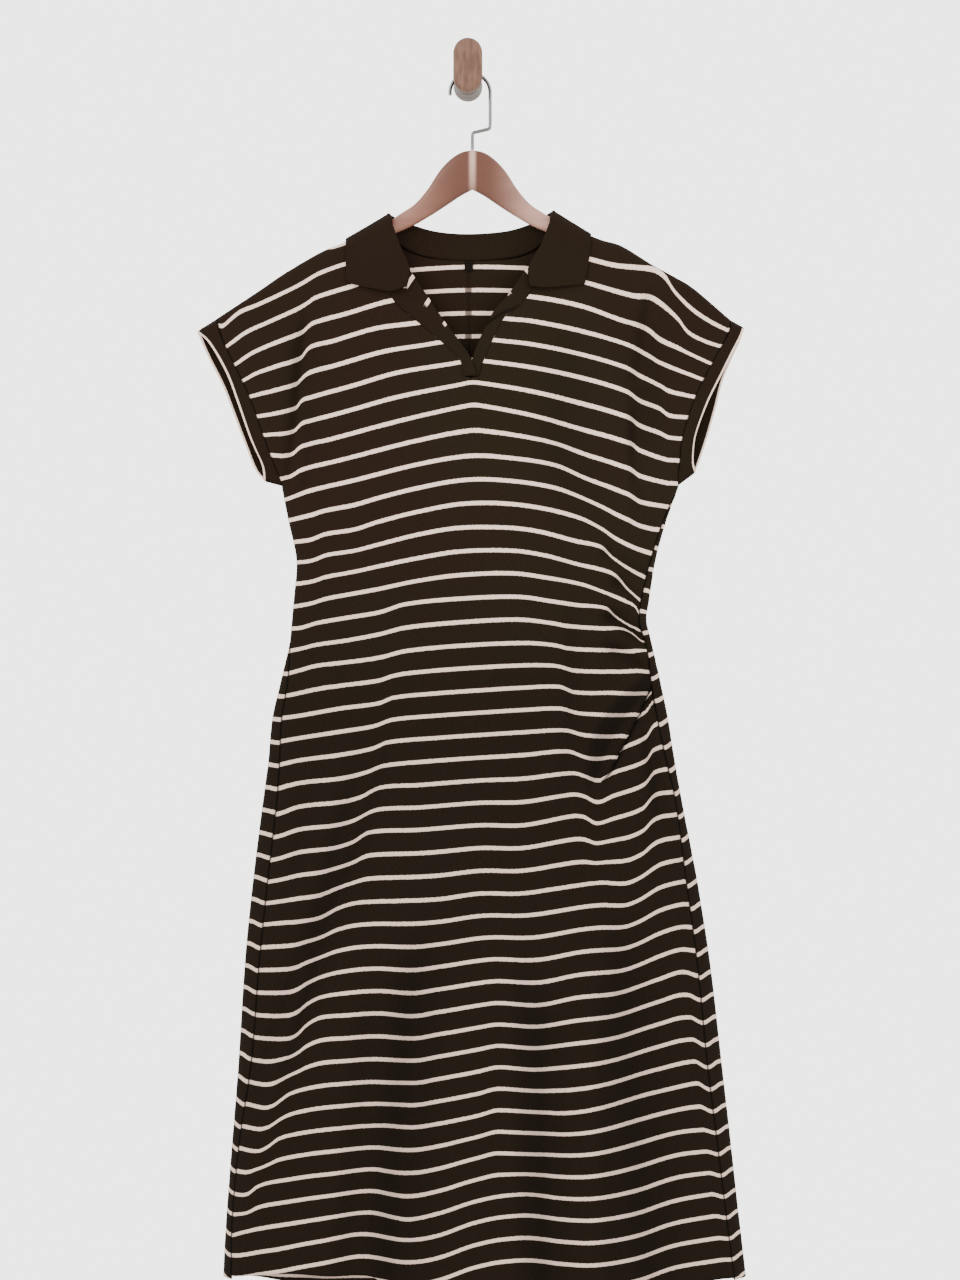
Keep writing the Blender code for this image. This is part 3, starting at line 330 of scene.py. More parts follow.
# Stripes of the front: each stripe's number, counted down from the one below the slit, and the line
# that its middle follows, as x, z
STRIPES = (
    (-5, ((-270, -271), (-252, -256), (-233, -248), (-209, -237), (-183, -224), (-164, -213),
        (-134, -202), (-75, -189), (68, -185), (132, -197), (161, -204), (204, -209), (218, -218),
        (228, -233), (247, -252), (267, -266), (286, -276))),
    (-4, ((-268, -295), (-245, -278), (-221, -267), (-188, -252), (-176, -245), (-169, -240),
        (-134, -229), (-75, -213), (68, -209), (129, -223), (161, -232), (184, -238), (202, -239),
        (217, -249), (232, -263), (242, -277), (257, -286), (277, -293))),
    (-3, ((-257, -314), (-240, -302), (-221, -293), (-188, -280), (-181, -276), (-171, -268),
        (-135, -258), (-83, -243), (-31, -236), (35, -235), (67, -239), (96, -243), (131, -251),
        (166, -264), (197, -274), (212, -286), (235, -297), (269, -313))),
    (-2, ((-249, -332), (-233, -323), (-216, -317), (-185, -306), (-174, -294), (-150, -288),
        (-102, -274), (-54, -268), (-9, -261), (48, -264), (70, -266), (121, -276), (174, -291),
        (197, -302), (214, -312), (259, -330))),
    (0, ((-232, -371), (-214, -368), (-190, -361), (-183, -353), (-174, -350), (-126, -337),
        (-78, -323), (-11, -312), (2, -309), (17, -310), (70, -317), (121, -327), (174, -343),
        (189, -353), (212, -362), (222, -370), (242, -372))),
    (2, ((-216, -413), (-204, -414), (-193, -412), (-183, -404), (-150, -396), (-102, -383),
        (-54, -371), (1, -359), (13, -359), (70, -370), (121, -384), (179, -401), (189, -408),
        (217, -418), (233, -419))),
    (4, ((-207, -464), (-197, -461), (-174, -453), (-126, -442), (-54, -424), (2, -415), (45, -417),
        (96, -425), (131, -440), (176, -457), (189, -465), (219, -470))),
    (6, ((-191, -509), (-173, -507), (-157, -501), (-125, -496), (-97, -487), (-53, -476), (-9, -468),
        (35, -467), (79, -472), (123, -483), (147, -495), (163, -506), (184, -516), (203, -522))),
    (7, ((-192, -532), (-172, -530), (-156, -524), (-124, -519), (-97, -512), (-53, -501), (-9, -494),
        (45, -494), (77, -498), (120, -509), (147, -515), (160, -527), (178, -539), (197, -549))),
    (8, ((-192, -556), (-172, -553), (-156, -548), (-124, -542), (-97, -536), (-53, -527), (-9, -520),
        (48, -519), (83, -524), (120, -534), (157, -543), (168, -551), (176, -561), (191, -575))),
    (9, ((-193, -581), (-172, -577), (-156, -572), (-124, -566), (-97, -561), (-53, -552), (-9, -546),
        (48, -544), (88, -549), (125, -556), (147, -564), (173, -575), (184, -581), (189, -591))),
    (10, ((-194, -605), (-183, -604), (-167, -599), (-133, -593), (-97, -587), (-69, -578), (-9, -572),
        (56, -570), (93, -575), (120, -579), (152, -582), (163, -591), (176, -600), (193, -608))),
    (11, ((-197, -630), (-183, -627), (-167, -623), (-133, -618), (-97, -611), (-69, -604), (-9, -598),
        (56, -595), (93, -599), (109, -602), (152, -605), (167, -605), (176, -607), (184, -612),
        (191, -619), (196, -620))),
    (12, ((-199, -655), (-185, -651), (-167, -646), (-133, -642), (-97, -637), (-69, -630), (-9, -624),
        (61, -621), (93, -623), (112, -627), (156, -629), (197, -629))),
    (14, ((-207, -704), (-185, -701), (-141, -693), (-97, -687), (-82, -681), (-31, -676), (13, -673),
        (61, -670), (101, -669), (117, -675), (163, -676), (197, -676))),
    (16, ((-214, -757), (-185, -750), (-141, -744), (-105, -737), (-88, -730), (-31, -725), (13, -722),
        (61, -719), (107, -717), (128, -722), (176, -724), (200, -724))),
    (17, ((-218, -784), (-185, -775), (-141, -770), (-111, -763), (-93, -756), (-31, -750), (13, -747),
        (61, -744), (109, -740), (131, -747), (141, -748), (165, -747), (189, -747))),
    (18, ((-221, -811), (-207, -809), (-185, -801), (-141, -796), (-119, -791), (-97, -780),
        (-53, -777), (13, -772), (61, -770), (115, -764), (128, -767), (139, -772), (147, -772),
        (160, -764), (195, -751), (205, -739), (227, -733))),
    (20, ((-224, -862), (-207, -858), (-185, -851), (-146, -846), (-127, -840), (-108, -829),
        (-53, -826), (13, -821), (61, -821), (115, -811), (128, -812), (141, -819), (160, -814),
        (192, -803), (205, -789), (229, -785))),
    (23, ((-233, -932), (-207, -929), (-185, -927), (-163, -923), (-141, -912), (-119, -906),
        (-75, -904), (-31, -902), (13, -896), (57, -896), (101, -890), (145, -884), (173, -885),
        (189, -879), (211, -865), (237, -859))),
    (28, ((-251, -1051), (-234, -1055), (-198, -1056), (-187, -1051), (-177, -1041), (-161, -1032),
        (-137, -1029), (-98, -1027), (-59, -1031), (-31, -1026), (13, -1018), (35, -1015), (79, -1018),
        (123, -1009), (167, -1005), (211, -990), (233, -983), (255, -986))),
    (31, ((-254, -1129), (-242, -1129), (-232, -1131), (-222, -1132), (-213, -1129), (-205, -1123),
        (-197, -1117), (-185, -1112), (-164, -1107), (-143, -1104), (-108, -1102), (-73, -1104),
        (-53, -1104), (-31, -1099), (13, -1090), (35, -1085), (79, -1089), (123, -1084), (167, -1077),
        (211, -1064), (233, -1058), (255, -1057), (277, -1060))),
    (33, ((-255, -1177), (-231, -1180), (-220, -1175), (-207, -1165), (-185, -1159), (-141, -1152),
        (-97, -1150), (-61, -1153), (-31, -1148), (13, -1138), (35, -1132), (101, -1137), (145, -1130),
        (189, -1119), (233, -1108), (255, -1105), (277, -1110))),
    (35, ((-259, -1228), (-250, -1229), (-241, -1227), (-232, -1219), (-220, -1214), (-199, -1210),
        (-171, -1205), (-143, -1201), (-115, -1198), (-101, -1198), (-87, -1201), (-73, -1203),
        (-53, -1202), (-31, -1197), (13, -1184), (35, -1179), (101, -1183), (145, -1179), (189, -1170),
        (233, -1158), (277, -1156))),
    (37, ((-261, -1275), (-249, -1270), (-228, -1264), (-185, -1256), (-143, -1248), (-115, -1245),
        (-101, -1246), (-80, -1252), (-64, -1254), (-31, -1246), (13, -1231), (57, -1224), (101, -1230),
        (145, -1228), (189, -1221), (233, -1207), (277, -1203), (305, -1202))),
    (38, ((-264, -1296), (-251, -1295), (-229, -1290), (-207, -1286), (-163, -1276), (-127, -1269),
        (-108, -1269), (-75, -1276), (-53, -1275), (-31, -1270), (13, -1254), (57, -1247), (101, -1253),
        (145, -1252), (189, -1246), (233, -1232), (277, -1226), (305, -1225))),
)
# The same stripes where the cloth comes out from under the pleat at the right hip
UNDER_STRIPES = (
    (15, ((195, -684), (203, -677), (216, -657))),
    (16, ((178, -708), (189, -701), (197, -696), (205, -685), (216, -682), (244, -679))),
    (17, ((156, -745), (171, -737), (197, -724), (205, -712), (220, -707), (244, -704))),
    (18, ((147, -772), (160, -764), (195, -751), (205, -739), (227, -733), (244, -732))),
)

# The cloth of the visual model
WALL = 1.9  # wall of the knit
RIB_WALL = 1.7
BAND_GAP = 0.3  # between a rib piece and the panel it is sewn to
BAND_ROWS = 60
BAND_COLUMNS = 9
BAND_BULGE = 0.8
BAND_TUCK = 0.5  # how far a band's lower end tucks under the panel
PLACKET_ROWS = 60
PLACKET_COLUMNS = 12
# How wide a strip of each placket's facing shows, at places along it
FACING_COLUMNS = ("along", "width")
FACINGS = {
    "left": ((0, 0), (54, 0), (66, 2.6), (98, 8.2), (124, 14.5), (160, 25)),
    "right": ((0, 0), (90, 0), (103, 0), (110, 5), (160, 5)),
}
PLACKET_MARKS = {"left": 107.5, "right": 106.0}  # where a pale mark meets the open edge
FACING_BLUR = 1.2
PLACKET_MARK_LEAN = 0.8
PLACKET_MARK_PITCH = 33.7
TWIST_PLACE = 65.0  # where the right placket's upper part ends over its lower part
TWIST_LEAN = 1.3  # how fast that line climbs away from the open edge
TWIST_SHADOW = 3.0  # width of the painted shadow line there
PLACKET_OVERLAP = 2.6  # how far the left placket's foot lies over the right one
PLACKET_OVERLAP_END = 45.0  # how far up it does so
PLACKET_TWIST = 3.0  # how far the right placket's upper part stands over its lower part
PLACKET_TWIST_WIDTH = 4.0
PLACKET_FOOT = (10.8, -326.0)  # where the left placket's open edge ends, over the right one
LABEL_GAP = 0.5  # between the tab and the back
LABEL_ROWS = 12
LABEL_COLUMNS = 10
HANGER_RINGS = 181
PEG_RINGS = 40
STRIPE_WOBBLE = 1.2
STRIPE_BLUR = 0.35  # how soft a stripe's edges are
STITCH_WIDTH = 1.6
STITCH_HEIGHT = 1.25
RIB_PITCH = 2.4
DOWN_SHADE = 1.6  # how much painted shade darkens a slope that turns down
RIGHT_SHADE = 1.92  # how much one that turns to the right does
TROUGH_SHADE = 0.5
LEAST_STEP = 0.3  # the least width of a cell that a slope is measured over
TROUGH_DEPTH = 7.0  # a trough this deep is fully shaded
EDGE_LINE = 2.2  # width of the pale line on the open edges
MARK_EDGES = (2.9, 2.2)  # a facing's mark fades out between these distances from its middle
SEAM_EDGES = (1.8, 0.4)  # so does the painted shadow along a side seam
PLEAT_EDGES = (4.0, 0.5)  # and the shadow beside the pleat
CENTRE_SEAM = 0.5  # x of the strip over the centre-back seam, inside
CENTRE_EDGES = (4.2, 3.4)
YARN_BUMP = {"strength": 0.5, "distance": 0.0006}  # the distance in metres
YARN_SPECULAR = 0.03
# How many times a metre the yarn's patches and flecks change, and a millimetre its wear and fuzz
PATCH_SCALE = 3.2
FLECK_SCALE = 900.0
UNEVEN_SCALE = 1.1
FUZZ_SCALE = 0.9
# How much of its painted shadow each place takes
SEAM_SHADOW = 0.85
CREASE_SHADOW = 0.5
FURROW_SHADOW = 0.35
LOW_SHADE_STRENGTH = 0.24  # how much painted shade darkens the pale stripes low down
CENTRE_DULLING = 0.8  # how much they darken on the strip over the centre-back seam
EDGE_BLUR = 0.4
# How many times a metre the wood and the wire change along x, y and z
HANGER_GRAIN = (14.0, 160.0, 120.0)
PEG_GRAIN = (420.0, 160.0, 60.0)
PEG_PATCHES = (90.0, 60.0, 40.0)
WIRE_MARKS = (300.0, 300.0, 300.0)
WEAVE_TURNS = 14.0  # radians of the tab's weave in a millimetre
LOW_SHADE_HEIGHTS = (-430, -750)  # between these heights painted shade darkens the yarn
JOINT_HIGHLIGHT_EDGES = (5.8, 0.5)  # of the painted highlight along the hanger's joint
JOINT_HIGHLIGHT_HEIGHTS = (-150, -80)  # over which it fades in
HANGER_ARMS = (-40, 60)  # x over which the arms turn paler
HANGER_CENTRE = (12, 85)  # distances from the middle over which the brown gives way to them
PEG_FRONT = (-48.5, -44.5)  # y over which the front's colour gives way to the side's

# Colours, as linear red, green and blue
CLOTH_GREENISH = (0.0058, 0.0041, 0.0016)
CLOTH_REDDISH = (0.0062, 0.0026, 0.0015)
# The next colour is painted shade: what the cloth darkens to low down
CLOTH_LOW_SHADE = (0.0024, 0.0013, 0.0006)
CLOTH_FLECK = (0.016, 0.011, 0.007)
CLOTH_SHADOW = (0.0012, 0.0009, 0.0006)
STRIPE_LIGHT = (0.56, 0.43, 0.365)
STRIPE_SHADED = (0.42, 0.31, 0.245)
HANGER_BROWN = (0.050, 0.0125, 0.0035)
HANGER_LEFT = (0.145, 0.062, 0.040)
HANGER_RIGHT = (0.27, 0.150, 0.115)
HANGER_DARK = (0.055, 0.016, 0.008)
# The next colour is a painted highlight along the hanger's joint
HANGER_JOINT_HIGHLIGHT = (0.31, 0.20, 0.15)
PEG_LIGHT = (0.100, 0.052, 0.034)
PEG_DARK = (0.062, 0.030, 0.020)
PEG_SIDE = (0.036, 0.022, 0.013)
WIRE_LIGHT = (0.13, 0.13, 0.13)
WIRE_DARK = (0.06, 0.06, 0.06)
TAB_LIGHT = (0.0050, 0.0036, 0.0028)
TAB_DARK = (0.0025, 0.0018, 0.0014)
FLOOR_LIGHT = (0.72, 0.71, 0.69)
FLOOR_DARK = (0.64, 0.63, 0.61)

# Studio
WORLD_COLOUR = (0.812, 0.80, 0.788)
WORLD_STRENGTH = 4.5
FLOOR_RADIUS = 1.4
FLOOR_HEIGHT = -1.75
# Each light's place, what it points at, its width and its power
LIGHTS = (
    ("front_left", (-1.7, -2.3, 0.9), (0.0, 0.0, -0.6), 1.6, 50.0),
    ("front_right", (1.9, -2.2, 0.1), (0.0, 0.0, -0.7), 1.8, 20.0),
    ("behind_left", (-1.6, 2.2, 0.6), (0.0, 0.0, -0.6), 1.6, 26.0),
    ("behind_right", (1.9, 1.9, 0.2), (0.0, 0.0, -0.7), 1.6, 22.0),
)
CAMERA_PLACE = (0.0134, -2.845, -0.6175)
CAMERA_LENS = 71.6
CAMERA_SENSOR = 36.0

# The back's stripes at its left seam, its middle and its right seam
BACK_STRIPE_COLUMNS = ("number", "left", "middle", "right")
BACK_STRIPES = (
    (-8, -166, -152, -163),
    (-7, -190, -177, -192),
    (-6, -220, -203, -214),
    (0, -369, -357, -372),
    (6, -506, -507, -516),
    (10, -605, -607, -610),
    (13, -680, -682, -686),
    (19, -833, -831, -839),
    (25, -982, -980, -990),
    (28, -1054, -1055, -1064),
    (31, -1130, -1130, -1137),
    (33, -1180, -1179, -1184),
    (35, -1228, -1229, -1231),
    (38, -1296, -1303, -1300),
    (40, -1352, -1352, -1345),
)
BACK_SPREAD = (-230.0, 250.0)  # x of the back's seams, for reading that table
STRIPE_PITCH = 24.5  # between the middles of neighbouring stripes
STRIPE_WIDTH = 4.3
# The pitch above the uppermost stripe, which decides where the next one meets the shoulder
TOP_PITCH_COLUMNS = ("x", "pitch")
TOP_PITCHES = (
    (-270, 26), (-205, 26), (-193, 22.5), (-183, 26), (-160, 25.5), (-148, 22), (-134, 22), (-100, 26),
    (0, 30), (290, 31),
)
# How far the back's stripes rise from each side seam to the side fold
WRAP_RISE_COLUMNS = ("height", "left", "right")
WRAP_RISES = (
    (-1321, 5.5, 5.5),
    (-1000, 5.0, 5.5),
    (-800, 2.0, 5.5),
    (-640, 0, 5.0),
    (-570, 0, -2.5),
    (-449, 0, -3),
)
WRAP_WIDTH = 15.0
WRAP_END = (22.0, 70.0)  # where on the back the rise starts to fade, and over how much cloth

# The pleat at the right hip, from the seam down to where it fades
PLEAT = ((203, -664), (200, -670), (189, -698), (176, -723), (165, -745), (157, -762), (149, -772))
PLEAT_RISE = 3.2  # how far its edge stands over the cloth below
PLEAT_WIDTHS = (12.0, 9.0)  # of the ridge along its edge, and of the trough beside it
PLEAT_FADES = (0.2, 0.3)  # shares of its length over which it fades at the seam and at its end
PLEAT_BOX = (120, -800, -630)  # where it bends the cloth: the least x, then the least and most z
UNDER_BOX = (140, -775, -640)  # where the stripes step at it
FAR_FROM_PLEAT = -99.0
UNDER_ROWS = UNDER_STRIPES + tuple(row for row in STRIPES if row[0] > 18)

# Finer creases of the front, in the same columns as its folds
FINE_FRONT_FOLDS = (
    (-176, -238, -187, -340, -196, -442, 5, -1.4, 1),
    (-167, -238, -177, -340, -186, -442, 7, 1.5, 1),
    (205, -224, 197, -262, 186, -330, 6, -1.6, 1),
    (186, -330, 184, -400, 190, -470, 7, -1.2, 1),
    (176, -330, 174, -400, 178, -480, 8, 1.4, 1),
    (60, -470, 100, -560, 112, -700, 14, 1.4, 0),
    (112, -560, 118, -700, 106, -830, 11, -1.8, 0),
    (-88, -690, -116, -800, -160, -930, 10, 1.8, 0),
    (-160, -930, -196, -1050, -236, -1190, 10, 2.2, 0),
    (-150, -700, -178, -830, -196, -930, 12, -1.0, 0),
    (182, -690, 206, -760, 214, -850, 9, -3.0, 0),
    (200, -700, 224, -800, 232, -900, 8, 1.4, 0),
    (-6, -1010, 8, -1180, 14, -1345, 14, 2.0, 1),
    (-46, -1010, -42, -1180, -40, -1345, 14, -1.6, 1),
    (120, -1020, 116, -1180, 112, -1345, 16, -1.4, 1),
)

STRIPE_LINE_COLUMNS = ("x", "z")
LEAST_STRIPE_GAP = 2.0
# Low down the front's stripes meet the back's at the right seam: over this width of the front, from
# this height, over this much of it
MEETING = {"width": 15.0, "height": -950.0, "over": 80.0}

# The points of the panels
ROW_HEIGHT = 4.0
WELD = 0.02  # points this close are one
SHARP_ANGLE = 40  # degrees
RING_POINTS = 481
FOLD_POINTS = 121
PLEAT_STEPS = 20
FOLD_END = 0.35  # share of a fold's length over which it fades at an end
FOLD_REACH = 3.0  # how many times its width a fold is felt
LINE_STEPS = 24  # points between two rows of a table of edges
# Where the columns lie from the side seam to the centre, as start, end and how many
RIGHT_FRONT_SPANS = ((0.0, 0.32, 36), (0.32, 1.0, 46))
BACK_SPANS = ((0.0, 0.13, 15), (0.13, BACK_NECK_SHARE, 30), (BACK_NECK_SHARE, 1.0, 24))
LEFT_FRONT_COLUMNS = 64
LEFT_FRONT_CROWDING = 1.08  # above 1 the columns are closer at the side seam
# The rows above the underarm: those below the slit's end, then spans as above
LOW_SLIT_ROWS = 22
UPPER_SPANS = ((SLIT_SHARES[1], 0.93, 32), (0.93, 0.98, 7), (0.98, 1.0, 6))


def read(rows, columns, name, at):
    """Smooth reading of one column of a table, by the table's first column."""
    keys = np.array([row[0] for row in rows], dtype=float)
    values = np.array([row[columns.index(name)] for row in rows], dtype=float)
    if keys[0] > keys[-1]:
        keys = keys[::-1]
        values = values[::-1]
    at = np.clip(at, keys[0], keys[-1])
    before = np.maximum(np.arange(len(keys)) - 1, 0)
    after = np.minimum(np.arange(len(keys)) + 1, len(keys) - 1)
    slopes = (values[after] - values[before]) / (keys[after] - keys[before])
    k = np.clip(np.searchsorted(keys, at) - 1, 0, len(keys) - 2)
    span = keys[k + 1] - keys[k]
    t = (at - keys[k]) / span
    return (
        (2 * t**3 - 3 * t**2 + 1) * values[k]
        + (t**3 - 2 * t**2 + t) * span * slopes[k]
        + (3 * t**2 - 2 * t**3) * values[k + 1]
        + (t**3 - t**2) * span * slopes[k + 1]
    )


def curve(points, steps=LINE_STEPS):
    """A smooth curve through points, as closely spaced points."""
    points = [np.array(p, dtype=float) for p in points]
    ends = [2 * points[0] - points[1]] + points + [2 * points[-1] - points[-2]]
    made = []
    for k in range(1, len(ends) - 2):
        a, b, c, d = ends[k - 1 : k + 3]
        for t in np.linspace(0.0, 1.0, steps, endpoint=False):
            bent = (2 * a - 5 * b + 4 * c - d) * t**2 + (3 * b - a - 3 * c + d) * t**3
            made.append(0.5 * (2 * b + (c - a) * t + bent))
    made.append(points[-1])
    return np.array(made)


def lengths_along(line):
    """How far along a line each of its points is."""
    steps = np.linalg.norm(np.diff(line, axis=0), axis=1)
    return np.concatenate(([0.0], np.cumsum(steps)))


def at_share(line, share):
    """The points at one or more shares of a line's length."""
    reached = lengths_along(line)
    wanted = np.clip(share, 0.0, 1.0) * reached[-1]
    return np.stack([np.interp(wanted, reached, line[:, k]) for k in range(line.shape[1])], axis=-1)


def smooth_step(value):
    value = np.clip(value, 0.0, 1.0)
    return value * value * (3.0 - 2.0 * value)


def column_points(rows, columns, *names):
    return [[row[columns.index(name)] for name in names] for row in rows]


def fold_lines(folds):
    """Each fold as a bent line with its width, depth and open end."""
    made = []
    t = np.linspace(0.0, 1.0, FOLD_POINTS)[:, None]
    for fold in folds:
        value = dict(zip(FOLD_COLUMNS, fold))
        start, middle, end = (np.array((value[f"x{k}"], value[f"z{k}"]), dtype=float) for k in range(3))
        control = 2 * middle - 0.5 * (start + end)
        line = (1 - t) ** 2 * start + 2 * t * (1 - t) * control + t**2 * end
        made.append((line, value["width"], value["depth"], value["open_end"]))
    return made


FOLD_LINES = {"front": fold_lines(FRONT_FOLDS + FINE_FRONT_FOLDS), "back": fold_lines(BACK_FOLDS)}


def fold_offset(face, x, z):
    """How far the folds of a face move the cloth outward at each place."""
    total = np.zeros(len(x))
    for line, width, depth, open_end in FOLD_LINES[face]:
        low = line.min(axis=0) - FOLD_REACH * width
        high = line.max(axis=0) + FOLD_REACH * width
        near = (x > low[0]) & (x < high[0]) & (z > low[1]) & (z < high[1])
        if not near.any():
            continue
        distances = np.hypot(x[near][:, None] - line[:, 0], z[near][:, None] - line[:, 1])
        share = distances.argmin(axis=1) / (len(line) - 1)
        fade = smooth_step(share / FOLD_END)
        if not open_end:
            fade = fade * smooth_step((1.0 - share) / FOLD_END)
        total[near] += depth * fade * np.exp(-((distances.min(axis=1) / width) ** 2))
    return total


PLEAT_LINE = curve(PLEAT, PLEAT_STEPS)


def pleat_distance(x, z):
    """Distance from the pleat's edge, above nought on the side that lies under it."""
    across = np.hypot(x[:, None] - PLEAT_LINE[:, 0], z[:, None] - PLEAT_LINE[:, 1])
    nearest = np.clip(across.argmin(axis=1), 0, len(PLEAT_LINE) - 2)
    start = PLEAT_LINE[nearest]
    step = PLEAT_LINE[nearest + 1] - start
    side = step[:, 0] * (z - start[:, 1]) - step[:, 1] * (x - start[:, 0])
    return np.where(side > 0.0, 1.0, -1.0) * across.min(axis=1), nearest / (len(PLEAT_LINE) - 2)


def in_box(x, z, box):
    """Which places lie right of a box's least x and between its heights."""
    return (x > box[0]) & (z > box[1]) & (z < box[2])


def relief(face, x, z):
    """How far the folds and the pleat move a face's cloth outward at each place.

    The pleat's edge stands out, and the cloth beside it lies lower.
    """
    total = fold_offset(face, x, z)
    near = in_box(x, z, PLEAT_BOX)
    if face == "front" and near.any():
        distance, share = pleat_distance(x[near], z[near])
        fade = smooth_step(share / PLEAT_FADES[0]) * smooth_step((1.0 - share) / PLEAT_FADES[1])
        ridge, trough = PLEAT_WIDTHS
        over = PLEAT_RISE * np.exp(-((distance / ridge) ** 2)) * (distance < 0.0)
        under = -0.5 * PLEAT_RISE * np.exp(-((distance / trough) ** 2)) * (distance >= 0.0)
        total[near] += fade * (over + under)
    return total


def section(height):
    return {name: float(read(SECTIONS, SECTION_COLUMNS, name, height)) for name in SECTION_COLUMNS[1:]}


def half_ring(height, face):
    """The inside of one face of a level section, from the left fold to the right one, as x, y."""
    size = section(height)
    left = size["left"] + CLOTH
    right = size["right"] - CLOTH
    across = -np.cos(np.linspace(0.0, math.pi, RING_POINTS))
    rise = np.sqrt(np.maximum(0.0, 1.0 - np.abs(across) ** EDGE_SHARPNESS))
    x = 0.5 * (left + right) + 0.5 * (right - left) * across
    return np.stack((x, HANGER_PLANE + OUTWARD[face] * size[face] * rise), axis=1)


def hem_drop(x, face, height):
    """Rows near the hem follow its curve."""
    weight = max(0.0, 1.0 - (height - HEM_HEIGHT) / HEM_REACH) ** 2
    return read(HEM, HEM_COLUMNS, face, x) * weight


def part_of(line, start_x, end_x):
    """The stretch of a level line between two places across."""
    kept = line[(line[:, 0] > start_x) & (line[:, 0] < end_x)]
    first = np.array([[start_x, np.interp(start_x, line[:, 0], line[:, 1])]])
    last = np.array([[end_x, np.interp(end_x, line[:, 0], line[:, 1])]])
    return np.concatenate((first, kept, last))


def level_line(height, side, face):
    """One half of a panel at one height, from its side seam to its centre."""
    mirror = (1, 1) if side == "left" else (-1, 1)
    front, back = (half_ring(height, name) * mirror for name in ("front", "back"))
    centre = float(read(CENTRE, CENTRE_COLUMNS, "x", height)) * mirror[0]
    if side == "right":
        front = front[::-1]
        back = back[::-1]
    edge = front[0, 0]
    wrap = section(height)[f"{side}_wrap"]
    if face == "front":
        line = part_of(front, edge + wrap, centre)
    else:
        turned = part_of(front, edge, edge + wrap)[::-1] if wrap > LEAST_WRAP else front[:1]
        line = np.concatenate((turned, part_of(back, edge, centre)[1:]))
    return line * mirror


SHOULDER_LINES = {side: curve(rows) for side, rows in SHOULDERS.items()}


def shoulder_height(x):
    """Inside height of the shoulder line, carried on over the neck."""
    x = np.asarray(x, dtype=float)
    heights = {}
    for side, line in SHOULDER_LINES.items():
        order = np.argsort(line[:, 0])
        end_x, end_z = SHOULDERS[side][-1]
        reach = abs(end_x - SHOULDER_MIDDLE) - np.abs(x - SHOULDER_MIDDLE)
        along = np.interp(x, line[order, 0], line[order, 1])
        heights[side] = np.where(reach > 0.0, end_z + NECK_RISE * reach, along)
    return np.where(x <= SHOULDER_MIDDLE, heights["left"], heights["right"]) - CLOTH * SLOPE


UNDERARM_RINGS = {face: half_ring(UNDERARM_HEIGHT, face) for face in ("front", "back")}


def body_y(x, z, face, lift=0.0):
    """The inside of the cloth above the underarm, or a surface that lies lift further out."""
    x = np.atleast_1d(np.asarray(x, dtype=float))
    z = np.atleast_1d(np.asarray(z, dtype=float))
    ring = UNDERARM_RINGS[face]
    low = np.abs(np.interp(x, ring[:, 0], ring[:, 1]) - HANGER_PLANE)
    low = np.where((x > ring[0, 0]) & (x < ring[-1, 0]), low, 0.0)
    top = shoulder_height(x) + lift * SLOPE
    radius = SHOULDER_RADIUS + lift
    below = np.maximum(0.0, top - z)
    share = np.minimum(1.0, below / np.maximum(1.0, top - UNDERARM_HEIGHT))
    bend = np.sqrt(np.maximum(0.0, 1.0 - (1.0 - np.minimum(1.0, below / radius)) ** 2))
    across = np.minimum(1.0, np.abs(x - CHEST_MIDDLE) / CHEST_HALF)
    fullness = CHEST_FULLNESS[face] * np.sin(math.pi * share) * (1.0 - across**2)
    depth = (radius + (low - SHOULDER_RADIUS) * share**4 + fullness) * bend
    folds = fold_offset(face, x, z) * smooth_step(below / FULL_FOLD_BELOW)
    depth += folds * smooth_step(low / FULL_FOLD_DEPTH + share)
    return HANGER_PLANE + OUTWARD[face] * np.maximum(0.0, depth)


def armhole_line(side):
    """The armhole seam from the underarm up to the shoulder, inside the wall at both ends."""
    rows = column_points(ARMHOLES[side], ARMHOLE_COLUMNS, "seam_x", "seam_z")[::-1]
    rows[0][0] += CLOTH if side == "left" else -CLOTH
    rows[-1][1] -= CLOTH * SLOPE
    return curve(rows)


ARMHOLE_LINES = {side: armhole_line(side) for side in ("left", "right")}


def armhole_depth(side, face, share):
    """How far each layer stands from the hanger plane at the armhole seam."""
    x, z = at_share(ARMHOLE_LINES[side], share)
    body = abs(body_y(x, z, face)[0] - HANGER_PLANE)
    open_depth = BAND_OPENING * smooth_step(share / ARMHOLE_OPENS)
    closes_from, closes_over = ARMHOLE_CLOSES
    return open_depth + (body - open_depth) * smooth_step((share - closes_from) / closes_over)


def slit_edge(side):
    return curve(column_points(SLITS[side], SLIT_COLUMNS, "edge_x", "edge_z") + [NECK_TOPS[side]])


SLIT_EDGES = {side: slit_edge(side) for side in ("left", "right")}


def inner_edge(side, face, share, centre_x):
    """The panel's inner side above the underarm: the centre line, then the slit and neck."""
    start = np.array((centre_x, UNDERARM_HEIGHT))
    if face == "back":
        top = BACK_NECK[len(BACK_NECK) // 2]
        return start + (np.array(top) - start) * share
    slit, opened = SLIT_SHARES
    if share <= slit + 1e-6:
        return start + (np.array(SLIT_BOTTOM) - start) * (share / slit)
    return at_share(SLIT_EDGES[side], (share - opened) / (1.0 - opened))


def top_edge(side, face, shares):
    """The panel's upper side: the shoulder, and for the back its half of the neck."""
    shares = np.asarray(shares, dtype=float)
    shoulder = SHOULDER_LINES[side] - (0.0, CLOTH * SLOPE)
    if face == "front":
        return at_share(shoulder, shares)
    half = len(BACK_NECK) // 2
    points = BACK_NECK[: half + 1] if side == "left" else BACK_NECK[: half - 1 : -1]
    on_shoulder = at_share(shoulder, shares / BACK_NECK_SHARE)
    on_neck = at_share(curve(points), (shares - BACK_NECK_SHARE) / (1.0 - BACK_NECK_SHARE))
    return np.where((shares <= BACK_NECK_SHARE)[..., None], on_shoulder, on_neck)


def spans(rows):
    """Evenly spaced shares over one span after another."""
    made = [np.linspace(start, end, count, endpoint=end == 1.0) for start, end, count in rows]
    return np.concatenate(made)


